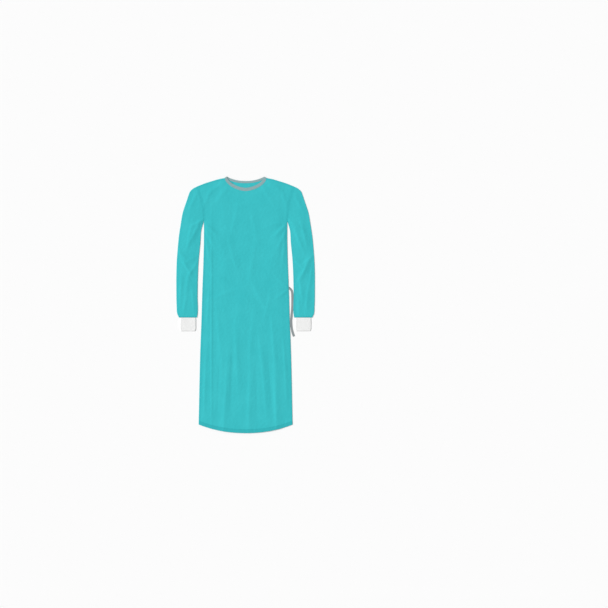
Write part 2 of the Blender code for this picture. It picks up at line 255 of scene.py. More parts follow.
def side_across(down):
    """A body panel's distance across at each distance down, read off the smooth curves of its
    armhole and its side seam."""
    curve = np.vstack([dense_curve(ARMHOLE)[:-1], dense_curve(BODY_SIDE)])
    return np.interp(down, curve[:, 1], curve[:, 0])


def hem_down(across):
    """The hem's line: lowest on the middle line, and rising by a power of across."""
    return LENGTH - (LENGTH - HEM_CORNER[1]) * np.abs(across / HEM_CORNER[0]) ** HEM_POWER


def back_neck_down(across, depth, tip):
    """The back neck's shallow curve: depth on the middle line, rising by a power of across."""
    return depth - (depth - tip[1]) * np.abs(across / tip[0]) ** BACK_NECK_POWER


def share(values):
    """Each value's share of the way from the first to the last."""
    return (values - values[0]) / (values[-1] - values[0])


def with_fine_ends(values, last_steps=EDGE_STEPS):
    """Puts close steps at both ends of a rising or falling row of places, to round its edges and
    to follow a turned hem, in place of the values that lie among them."""
    way = np.sign(values[-1] - values[0])
    first = values[0] + way * np.array(EDGE_STEPS)
    last = values[-1] - way * np.array(last_steps[::-1])
    kept = np.abs(values - values[0]) > CLEAR_OF_FIRST * EDGE_STEPS[-1]
    kept = kept & (np.abs(values - values[-1]) > CLEAR_OF_LAST * last_steps[-1])
    return np.concatenate([values[:1], first, values[kept], last, values[-1:]])


def to_xy(points):
    """Turns across and down into X and Y, with Y zero at half the gown's length."""
    return np.stack([points[..., 0], LENGTH / 2 - points[..., 1]], axis=-1)


def patch(top, bottom, left, right, s, t):
    """Fills four edges: the sum of the two ruled surfaces, less the one through the corners."""
    s = s[None, :, None]
    t = t[:, None, None]
    ruled = (1 - t) * top[None] + t * bottom[None] + (1 - s) * left[:, None] + s * right[:, None]
    corners = (1 - t) * ((1 - s) * top[0] + s * top[-1]) + t * ((1 - s) * bottom[0] + s * bottom[-1])
    return ruled - corners


def depths(xy):
    """Each point's distance from the top, bottom, first and last edge: the sum of the steps along
    its grid line."""
    down = np.cumsum(np.linalg.norm(np.diff(xy, axis=0, prepend=xy[:1]), axis=2), axis=0)
    across = np.cumsum(np.linalg.norm(np.diff(xy, axis=1, prepend=xy[:, :1]), axis=2), axis=1)
    return down, down[-1:] - down, across, across[:, -1:] - across


def ridges(xy, table):
    """Soft folds, summed: each is a bell across its own bent middle line, wider on one side than
    on the other, that dies away toward both ends."""
    height = np.zeros(xy.shape[:-1])
    for across, down, half_length, half_width, top, turn, bend in table:
        offset = xy - np.array([across, LENGTH / 2 - down])
        turned = math.radians(turn)
        along = offset[..., 1] * math.cos(turned) + offset[..., 0] * math.sin(turned)
        side = offset[..., 0] * math.cos(turned) - offset[..., 1] * math.sin(turned) - bend * along**2
        width = half_width * (1.0 + FOLD_LEAN * np.tanh(side / half_width))
        dying = np.abs(along / half_length) ** FOLD_END_POWER
        height = height + top * np.exp(-dying - (side / width) ** 2)
    return height


def make_piece(name, points, quads, corner_uv, finish, doubled=None):
    """Makes a mesh from arrays, turns its faces outward, and gives it its finish and its body.
    doubled says how far the cloth at each point shows a second layer behind it."""
    mesh = bpy.data.meshes.new(name)
    mesh.vertices.add(len(points))
    mesh.vertices.foreach_set("co", np.ascontiguousarray(points, dtype=np.float32).ravel())
    mesh.loops.add(quads.size)
    mesh.loops.foreach_set("vertex_index", np.ascontiguousarray(quads, dtype=np.int32).ravel())
    mesh.polygons.add(len(quads))
    mesh.polygons.foreach_set("loop_start", np.arange(0, quads.size, 4, dtype=np.int32))
    mesh.update(calc_edges=True)
    cloth_map = mesh.uv_layers.new(name="cloth")
    cloth_map.data.foreach_set("uv", np.ascontiguousarray(corner_uv, dtype=np.float32).ravel())
    shell = bmesh.new()
    shell.from_mesh(mesh)
    bmesh.ops.recalc_face_normals(shell, faces=shell.faces)
    shell.to_mesh(mesh)
    shell.free()
    if doubled is not None:
        layers = mesh.attributes.new("doubled", "FLOAT", "POINT")
        layers.data.foreach_set("value", np.tile(doubled.ravel(), 2).astype(np.float32))
    mesh.shade_smooth()
    mesh.set_sharp_from_angle(angle=math.radians(SHARP_ANGLE))
    mesh.materials.append(finish)
    piece = bpy.data.objects.new(name, mesh)
    scene.collection.objects.link(piece)
    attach(piece, "root")
    return piece


def grid_quads(number):
    """Quads between the neighbours in a grid of point numbers."""
    corners = (number[:-1, :-1], number[1:, :-1], number[1:, 1:], number[:-1, 1:])
    return np.stack([c.ravel() for c in corners], axis=1)


def wall(name, under, over, uv, finish, doubled=None):
    """A closed wall between two grids of points, with a rim all round."""
    number = np.arange(under[..., 0].size).reshape(under.shape[:2])
    rim = np.concatenate([number[0, :-1], number[:-1, -1], number[-1, :0:-1], number[:0:-1, 0]])
    onward = np.roll(rim, -1)
    band = np.stack([rim, onward, onward + number.size, rim + number.size], axis=1)
    quads = np.vstack([grid_quads(number)[:, ::-1], grid_quads(number + number.size), band])
    points = np.vstack([under.reshape(-1, 3), over.reshape(-1, 3)])
    corner_uv = np.vstack([uv.reshape(-1, 2)] * 2)[quads.ravel()]
    return make_piece(name, points, quads, corner_uv, finish, doubled)


def raised(xy, z):
    """Joins a grid's X and Y with its heights."""
    return np.dstack([xy, z])


def add_node(tree, kind, fields, values, links):
    """Adds a node, sets its fields and its sockets' plain values, and links its other sockets."""
    node = tree.nodes.new(kind)
    for field, value in fields.items():
        setattr(node, field, value)
    for socket, value in values.items():
        node.inputs[socket].default_value = value
    for socket, source in links.items():
        tree.links.new(source, node.inputs[socket])
    return node


def start_finish(name, roughness, specular):
    """A new material, with its tree and shader, and its roughness and specular level set."""
    finish = bpy.data.materials.new(name)
    finish.use_nodes = True
    shader = finish.node_tree.nodes["Principled BSDF"]
    shader.inputs["Roughness"].default_value = roughness
    shader.inputs["Specular IOR Level"].default_value = specular
    return finish, finish.node_tree, shader


def noise(tree, place, scale, detail):
    """Soft noise from 0 to 1, with scale patches to the metre."""
    values = {"Scale": scale, "Detail": detail}
    return add_node(tree, "ShaderNodeTexNoise", {}, values, {"Vector": place}).outputs[0]


def math_node(tree, operation, first, second=0.0, third=0.0):
    """One sum on sockets or plain numbers."""
    node = tree.nodes.new("ShaderNodeMath")
    node.operation = operation
    for socket, value in enumerate((first, second, third)):
        if isinstance(value, (int, float)):
            node.inputs[socket].default_value = value
        else:
            tree.links.new(value, node.inputs[socket])
    return node.outputs[0]


def colour_between(tree, amount, first, second):
    """The blend of two colours by an amount from 0 to 1. Each is a plain colour or another blend."""
    blend = tree.nodes.new("ShaderNodeMix")
    blend.data_type = "RGBA"
    for socket, colour in ((6, first), (7, second)):
        if isinstance(colour, tuple):
            blend.inputs[socket].default_value = colour
        else:
            tree.links.new(colour, blend.inputs[socket])
    tree.links.new(amount, blend.inputs[0])
    return blend.outputs[2]


def bump_chain(tree, shader, layers):
    """Links the shader's normal to bumps laid over one another, each of a height and a depth."""
    normal = None
    for height, depth in layers:
        links = {"Height": height} if normal is None else {"Height": height, "Normal": normal}
        bump = add_node(tree, "ShaderNodeBump", {}, {"Strength": 1.0, "Distance": depth}, links)
        normal = bump.outputs[0]
    tree.links.new(normal, shader.inputs["Normal"])


def cloth_place(tree):
    """The place on the piece's own map."""
    return add_node(tree, "ShaderNodeUVMap", {"uv_map": "cloth"}, {}, {}).outputs[0]


def cloth_finish(name, dark, light, deep):
    """Nonwoven cloth, in metres along the piece's own map: cloudy colour with fine fibres in it,
    deeper where it is doubled, a diagonal lattice of small pressed points, and soft crumples about
    a centimetre across."""
    finish, tree, shader = start_finish(name, roughness=0.85, specular=0.12)
    place = cloth_place(tree)
    cloud = noise(tree, place, scale=14.0, detail=4.0)
    fibre = noise(tree, place, scale=1500.0, detail=3.0)
    crumple = noise(tree, place, scale=70.0, detail=2.0)
    shade = math_node(tree, "MULTIPLY_ADD", cloud, 0.8, -0.25)
    shade = math_node(tree, "MULTIPLY_ADD", fibre, 0.7, shade)
    doubled = add_node(tree, "ShaderNodeAttribute", {"attribute_name": "doubled"}, {}, {}).outputs["Fac"]
    colour = colour_between(tree, doubled, colour_between(tree, shade, dark, light), deep)
    tree.links.new(colour, shader.inputs["Base Color"])
    turned = {"Rotation": (0.0, 0.0, math.radians(45)), "Scale": (700.0, 700.0, 700.0)}
    lattice = add_node(tree, "ShaderNodeMapping", {}, turned, {"Vector": place})
    cell = add_node(tree, "ShaderNodeVectorMath", {"operation": "FRACTION"}, {}, {0: lattice.outputs[0]})
    centred = {1: (0.5, 0.5, 0.0)}
    middle = add_node(
        tree, "ShaderNodeVectorMath", {"operation": "SUBTRACT"}, centred, {0: cell.outputs[0]}
    )
    distance = add_node(tree, "ShaderNodeVectorMath", {"operation": "LENGTH"}, {}, {0: middle.outputs[0]})
    limits = {"From Min": 0.16, "From Max": 0.34}
    pressed = add_node(tree, "ShaderNodeMapRange", {}, limits, {"Value": distance.outputs["Value"]})
    grain = math_node(tree, "MULTIPLY_ADD", fibre, 0.5, pressed.outputs[0])
    bump_chain(tree, shader, ((crumple, 0.0012), (grain, 0.00006)))
    return finish


def thread_finish(name, colour):
    """Sewing thread: a plain colour with the fine slanted ridges of its twist."""
    finish, tree, shader = start_finish(name, roughness=0.6, specular=0.3)
    shader.inputs["Base Color"].default_value = colour
    place = add_node(tree, "ShaderNodeTexCoord", {}, {}, {}).outputs["Object"]
    fields = {"bands_direction": "DIAGONAL"}
    twist = add_node(tree, "ShaderNodeTexWave", fields, {"Scale": 800.0}, {"Vector": place})
    bump_chain(tree, shader, ((twist.outputs[1], 0.00006),))
    return finish


def stitches(name, line, side, finish):
    """A row of short threads along a line in space: each is a spindle, as thick as the root of a
    cosine of the way along it, that arches toward side, 1 for up or -1 for down."""
    middles = np.arange(STITCH_PITCH, run_length(line)[-1] - STITCH_PITCH / 2, STITCH_PITCH)
    rings, sides = 5, 6
    u = np.linspace(-0.5, 0.5, rings)
    spread = np.maximum(np.cos(STITCH_TAPER * math.pi * u), 0.0)
    radius = THREAD * np.sqrt(spread)
    turn = np.arange(sides) * 2 * math.pi / sides
    places = (middles[:, None] + u[None] * STITCH_LENGTH).ravel()
    spot = points_at(line, places).reshape(len(middles), rings, 3)
    spot[..., 2] += side * THREAD * (spread[None] - STITCH_SUNK)
    ahead = spot[:, -1, :2] - spot[:, 0, :2]
    ahead = ahead / np.linalg.norm(ahead, axis=1)[:, None]
    beside = np.stack([-ahead[:, 1], ahead[:, 0]], axis=1)
    points = np.repeat(spot[:, :, None], sides, axis=2)
    points[..., :2] += beside[:, None, None] * (radius[:, None] * np.cos(turn)[None])[None, ..., None]
    points[..., 2] += (radius[:, None] * np.sin(turn)[None])[None]
    number = np.arange(rings * sides).reshape(rings, sides)
    body = grid_quads(np.hstack([number, number[:, :1]]))
    cap = np.array([[0, 1, 2, 3], [3, 4, 5, 0]])
    single = np.vstack([body, cap, cap[:, ::-1] + (rings - 1) * sides])
    starts = np.arange(len(middles)) * rings * sides
    quads = (single[None] + starts[:, None, None]).reshape(-1, 4)
    points = points.reshape(-1, 3)
    return make_piece(name, points, quads, points[quads.ravel(), :2], finish)


def row_inside(points, to_edge, depth):
    """The line on a grid that lies at a depth inside its last row: on each column, the point that
    shares the step between the two rows to each side of that depth."""
    column = np.arange(points.shape[1])
    row = (to_edge > depth).sum(axis=0)
    far, near = to_edge[row - 1, column], to_edge[row, column]
    part = ((far - depth) / (far - near))[:, None]
    return points[row - 1, column] * (1 - part) + points[row, column] * part


def seam_distance(across, to_side, to_top):
    """Distance from the nearest seam: the side's, or at the top, past the neck, the shoulder's."""
    return np.minimum(to_side, np.where(np.abs(across) > NECK_SEAM[0], to_top, FAR_OFF))


def doubled_share(to_fold, to_seam):
    """How far cloth shows a second layer: fully within a turned hem, and partly within the
    allowance behind a seam, each fading out over a millimetre or two."""
    hem = 1 - rise(to_fold, HEM_DEPTH - 0.0008, HEM_DEPTH + 0.0004)
    seam = 1 - rise(to_seam, SEAM_ALLOWANCE - 0.001, SEAM_ALLOWANCE + 0.001)
    return np.maximum(hem, SEAM_SHOW * seam)


def stitch_groove(to_edge):
    """A narrow bell, 1 on the hem's stitching line."""
    return np.exp(-(((to_edge - HEM_DEPTH + STITCH_INSET) / GROOVE_WIDTH) ** 2))


def hem_thickness(to_edge):
    """What a turned hem adds: a step, less the groove that its stitching presses in."""
    step = HEM_STEP * (1 - rise(to_edge, HEM_DEPTH - HEM_EASE, HEM_DEPTH))
    return step - GROOVE_DEPTH * stitch_groove(to_edge)


def drawn_up(to_edge, place):
    """Small uneven waves where a hem's stitching draws the cloth up: a bell about the hem's depth,
    times one plus a sine of the place along it, whose pitch a slower sine shifts."""
    drift = 1.7 * np.sin(place * 2 * math.pi / PUCKER_DRIFT)
    waves = np.sin(place * 2 * math.pi / PUCKER_PITCH + drift)
    return np.exp(-(((to_edge - HEM_DEPTH) / PUCKER_REACH) ** 2)) * (1 + waves)


def back_grid(inner_edge):
    """Grid of a back panel in across and down, from its side to inner_edge past the middle: the
    patch that fills its neck and shoulder, hem, side seam and free edge."""
    shoulder = np.linspace(SHOULDER_POINT[0], NECK_SEAM[0], SHOULDER_COLUMNS)
    inner = np.linspace(NECK_SEAM[0], -inner_edge, INNER_COLUMNS)[1:]
    across = with_fine_ends(np.concatenate([shoulder, inner]), HEM_STEPS)
    neck = back_neck_down(across, BACK_SEAM_DOWN, NECK_SEAM)
    top_down = np.where(across < NECK_SEAM[0], neck, shoulder_down(across))
    s = share(across)
    bottom = HEM_CORNER[0] + s * (-inner_edge - HEM_CORNER[0])
    side_down = with_fine_ends(np.linspace(SHOULDER_POINT[1], HEM_CORNER[1], BACK_ROWS), HEM_STEPS)
    t = share(side_down)
    edge_down = top_down[-1] + t * (hem_down(bottom[-1]) - top_down[-1])
    return patch(
        np.column_stack([across, top_down]),
        np.column_stack([bottom, hem_down(bottom)]),
        np.column_stack([side_across(side_down), side_down]),
        np.column_stack([np.full(len(t), -inner_edge), edge_down]),
        s,
        t,
    )


def back_panel(name, side, inner_edge, lowest):
    """A back panel: the heights that lowest gives, plus its hollows, and over them the cloth's
    thickness. Its hem and free edge are turned, which adds a step and small waves, and stitched,
    which presses a groove in from below. Its wall narrows to a round fold at those two edges, and
    rounds up toward the front panel at its seams."""
    grid = back_grid(inner_edge) * np.array([side, 1.0])
    xy = to_xy(grid)
    x, y = xy[..., 0], xy[..., 1]
    to_top, to_hem, to_side, to_free = depths(xy)
    to_turned = np.minimum(to_hem, to_free)
    inside = np.minimum(np.minimum(to_top, to_side), to_turned)
    waves = drawn_up(to_hem, x) + drawn_up(to_free, y + FREE_EDGE_SHIFT)
    under = lowest(x) + ridges(xy, BACK_HOLLOWS) * rise(inside, 0.0, HOLLOW_EASE)
    under = under + BACK_PUCKER * waves * rise(inside, 0.0, PUCKER_EASE)
    over = under + CLOTH + np.maximum(hem_thickness(to_hem), hem_thickness(to_free))
    under = under + BACK_GROOVE * np.maximum(stitch_groove(to_hem), stitch_groove(to_free))
    seam = 1 - round_off(np.minimum(to_side, to_top), SEAM_ROUNDING)
    fold = 1 - round_off(to_turned, FOLD_ROUNDING)
    thick = over - under
    under = under + thick * (SEAM_SHARE * seam + FOLD_SHARE * fold)
    over = over - thick * FOLD_SHARE * fold
    under, over = raised(xy, under), raised(xy, over)
    doubled = doubled_share(to_turned, seam_distance(x, to_side, to_top))
    piece = wall(f"{name}_cloth", under, over, grid, teal_cloth, doubled)
    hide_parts(name)
    # both rows of stitches stop short of the corners, where one turned edge lies over the other
    hem = row_inside(under, to_hem, HEM_DEPTH - STITCH_INSET)
    free = row_inside(under.transpose(1, 0, 2), to_free.T, HEM_DEPTH - STITCH_INSET)
    rows = [
        stitches(f"{name}_hem_stitches", hem[4:-14], -1, teal_thread),
        stitches(f"{name}_edge_stitches", free[6:-16], -1, teal_thread),
    ]


TEAL_DARK = (0.035, 0.468, 0.503, 1.0)
TEAL_LIGHT = (0.051, 0.538, 0.575, 1.0)
TEAL_DOUBLED = (0.034, 0.440, 0.476, 1.0)
teal_cloth = cloth_finish("teal nonwoven cloth", TEAL_DARK, TEAL_LIGHT, TEAL_DOUBLED)
teal_thread = thread_finish("teal sewing thread", (0.030, 0.400, 0.435, 1.0))
back_panel("back_panel_right", -1, BACK_EDGE, lowest=np.zeros_like)


# Back waist tie: flat woven tape, caught in the turned edge of the outer back panel at the waist.
# It lies on the surface, in one limp curve under the other back panel. Its far end is turned over
# and stitched.
TIE_WIDTH = 0.011
TIE_THICKNESS = 0.0010
# shares of that thickness: plain tape, what the seam presses off it, and what its end's hem adds
TAPE_PLAIN = 0.62
TAPE_PRESSED = 0.12
TAPE_HEMMED = 0.30
TAPE_ROUNDING = 0.0005
TIE_END_HEM = 0.009
TIE_END_INSET = 0.0016
# where it leaves the seam's grip, lies square, and starts to wave and tilt, and its level end
TUCK_EASE = 0.006
SQUARE_FROM = 0.016
WAVING = (0.010, 0.030)
TILTING = (0.010, 0.040)
LEVEL_END = 0.015
TIE_WAVE = 0.00022
TIE_WAVE_PITCH = 0.047
TIE_TILT_PITCH = 0.071
TIE_ROWS = 150
TAPE_PLACES = (-1.0, -0.975, -0.93, -0.85, -0.6, -0.3, 0.0, 0.3, 0.6, 0.85, 0.93, 0.975, 1.0)
BACK_TIE = (
    # across, down
    (0.0605, 0.5510),
    (0.0720, 0.5515),
    (0.0900, 0.5580),
    (0.1060, 0.5740),
    (0.1140, 0.6000),
    (0.1130, 0.6450),
    (0.1060, 0.6950),
    (0.0960, 0.7300),
    (0.0930, 0.7550),
    (0.0990, 0.7800),
)


def tape_finish(name, dark, light):
    """Woven tape: a twill of slanted ribs 0.9 mm apart that turn back at its middle, crossed by
    fine threads, with a slight mottle and painted shade in the ribs' furrows, all in metres along and
    across the tape."""
    finish, tree, shader = start_finish(name, roughness=0.8, specular=0.15)
    place = cloth_place(tree)
    parts = add_node(tree, "ShaderNodeSeparateXYZ", {}, {}, {0: place})
    across = math_node(tree, "ABSOLUTE", parts.outputs[0])
    slanted = math_node(tree, "ADD", across, parts.outputs[1])
    rib = math_node(tree, "SINE", math_node(tree, "MULTIPLY", slanted, 7000.0))
    thread = math_node(tree, "SINE", math_node(tree, "MULTIPLY", parts.outputs[1], 15000.0))
    height = math_node(tree, "MULTIPLY_ADD", thread, 0.3, rib)
    mottle = noise(tree, place, scale=220.0, detail=3.0)
    # painted shade: the colour darkens with the ribs' height, in their furrows
    shade = math_node(tree, "MULTIPLY_ADD", rib, 0.15, mottle)
    tree.links.new(colour_between(tree, shade, dark, light), shader.inputs["Base Color"])
    bump_chain(tree, shader, ((height, 0.00007),))
    return finish


def waist_tie(name, table, tuck, tucked_height, mouth_slope):
    """Tie: a flat strip whose rows of points lie square across its table's line, or slanted at the
    mouth, with the first tuck of its length caught in the seam. Each row stands on a sine of the
    way along and tilts by another, and both die away at the two ends. The tape is thinner where
    it is caught and thicker in the hem of its end, and its edges are rounded."""
    line = to_xy(dense_curve(table))
    start = line[0] - (line[1] - line[0]) / np.linalg.norm(line[1] - line[0]) * tuck
    line = np.vstack([start, line])
    total = run_length(line)[-1]
    s = with_fine_ends(np.linspace(0.0, total, TIE_ROWS))
    centre = points_at(line, s)
    along = np.gradient(centre, s, axis=0)
    along = along / np.linalg.norm(along, axis=1)[:, None]
    beside = np.column_stack([-along[:, 1], along[:, 0]])
    v = np.array(TAPE_PLACES)
    slant = mouth_slope * (1 - rise(s, tuck, SQUARE_FROM)) * TIE_WIDTH / 2
    offset = beside[:, None] * (v * TIE_WIDTH / 2)[None, :, None]
    xy = centre[:, None] + offset - along[:, None] * (slant[:, None] * v[None])[..., None]
    tucked = 1 - rise(s, tuck * 0.8, tuck + TUCK_EASE)
    hem = 1 - rise(total - s, TIE_END_HEM - 0.0008, TIE_END_HEM)
    thickness = TIE_THICKNESS * (TAPE_PLAIN - TAPE_PRESSED * tucked + TAPE_HEMMED * hem)
    edge = np.minimum((1 - np.abs(v))[None] * TIE_WIDTH / 2, (total - s)[:, None])
    wave = TIE_WAVE * (1 + np.sin(s * 2 * math.pi / TIE_WAVE_PITCH + 0.8)) * rise(s, *WAVING)
    tilt = TIE_WAVE * np.sin(s * 2 * math.pi / TIE_TILT_PITCH) * rise(s, *TILTING)
    under = wave[:, None] + tilt[:, None] * v[None] + np.abs(tilt)[:, None]
    under = under * (1 - rise(s, total - LEVEL_END, total))[:, None]
    under = under + (tucked_height * tucked)[:, None]
    over = under + thickness[:, None]
    soft = (1 - round_off(edge, TAPE_ROUNDING)) * thickness[:, None] * 0.5
    uv = np.dstack(np.broadcast_arrays(v[None] * TIE_WIDTH / 2, s[:, None]))
    piece = wall(f"{name}_tape", raised(xy, under + soft), raised(xy, over - soft), uv, grey_tape)
    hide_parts(name)
    for label, at in (("hem", total - TIE_END_HEM + TIE_END_INSET), ("end", total - TIE_END_INSET)):
        ends = raised(xy, over)[np.searchsorted(s, at)][[1, -2]]
        across = ends[0] + (ends[1] - ends[0]) * np.linspace(0.0, 1.0, 12)[:, None]
        stitches(f"{name}_{label}_stitches", across, 1, grey_thread)


grey_tape = tape_finish("grey woven tape", (0.215, 0.245, 0.255, 1.0), (0.305, 0.340, 0.350, 1.0))
grey_thread = thread_finish("grey sewing thread", (0.245, 0.270, 0.280, 1.0))
waist_tie("waist_tie_back", BACK_TIE, tuck=0.0025, tucked_height=0.0003, mouth_slope=0.0)


# Back panel on the wearer's left: the same cloth, lying under the right one when worn. Laid down,
# it runs over the right panel's edge and over the tie sewn there, and comes down to the surface
# at its own side.
BACK_UNDERLAP = 0.080
UNDER_LEFT = 0.0015
RAMP = (0.125, 0.160)


def under_left(x):
    """Underside of the left back panel: over the right panel and its tie, then down."""
    return UNDER_LEFT * (1 - rise(x, *RAMP))


back_panel("back_panel_left", 1, BACK_UNDERLAP, lowest=under_left)


# Front: one cut from the shoulders and the neck's seam to the hem, laid over both back panels and
# sewn to them at the shoulders and sides, where it rolls down to meet them. It keeps soft folds
# from the armpits, neck and waist, and long ones down the skirt. Its hem is turned and stitched.
LAYER = 0.0015
LAYERED_FROM = (-0.150, -0.100)
LAYERED_TO = (0.150, 0.200)
PUFF = 0.0012
PUFF_REACH = 0.040
CREASE_STRENGTH = 1.2
CREASE_EASE = 0.012
SWELL = 0.00035
LEAST_RISE = 0.0003
ROLL = 0.0026
ROLL_GAP = 0.00005
FRONT_PUCKER = 0.00015
FRONT_FOLD_UNDER = 0.2
FRONT_ROWS = 245
FRONT_SEAM_DOWN = 0.0710
FRONT_NECK_POWER = 1.7
# how the upper cloth's edge turns down into a seam: its share and reach, and what a pinch adds
SEAM_SINK = 0.3
SEAM_REACH = 0.0009
PINCH_SINK = 0.45
PINCH_REACH = 0.0022
PINCH_ABOVE = 0.008
PINCH_LENGTH = 0.020
MOST_SUNK = 0.75
# the side seam stands open a little where the side tie comes out of it
TIE_MOUTH = 0.0005
TIE_MOUTH_DOWN = 0.5565
TIE_MOUTH_LENGTH = 0.009
SLEEVE_OUTER = (
    # across, down
    SHOULDER_POINT,
    (0.2620, 0.0600),
    (0.2770, 0.0740),
    (0.2860, 0.0960),
    (0.2930, 0.1170),
    (0.3015, 0.1420),
    (0.3130, 0.1770),
    (0.3240, 0.2370),
    (0.3330, 0.2970),
    (0.3390, 0.3570),
    (0.3435, 0.4170),
    (0.3460, 0.4970),
    (0.3460, 0.5700),
    (0.3445, 0.6470),
    (0.3410, 0.6870),
    (0.3330, 0.7045),
)
SLEEVE_INNER = (
    # across, down
    ARMPIT,
    (0.2215, 0.2670),
    (0.2260, 0.3270),
    (0.2345, 0.4170),
    (0.2390, 0.5200),
    (0.2400, 0.6000),
    (0.2400, 0.6870),
    (0.2430, 0.7045),
)
LARGE_FOLDS = (
    # across signed, down, half length, half width, height, turn, bend
    (-0.165, 0.290, 0.080, 0.024, 0.0016, -38, 0.0),
    (-0.120, 0.380, 0.110, 0.030, 0.0009, -22, 0.0),
    (0.170, 0.300, 0.070, 0.024, 0.0015, 42, 0.0),
    (0.135, 0.420, 0.120, 0.032, 0.0010, 16, 0.0),
    (-0.030, 0.700, 0.190, 0.034, 0.0011, 5, 0.0),
    (0.080, 0.860, 0.170, 0.030, 0.0010, -7, 0.0),
    (-0.120, 0.980, 0.180, 0.032, 0.0012, 3, 0.0),
    (0.160, 1.080, 0.130, 0.028, 0.0011, -3, 0.0),
    (-0.270, 0.290, 0.075, 0.022, 0.0014, 34, 0.0),
    (-0.300, 0.480, 0.060, 0.020, 0.0012, -28, 0.0),
    (0.274, 0.280, 0.080, 0.022, 0.0013, -38, 0.0),
    (0.300, 0.450, 0.065, 0.020, 0.0013, 24, 0.0),
)
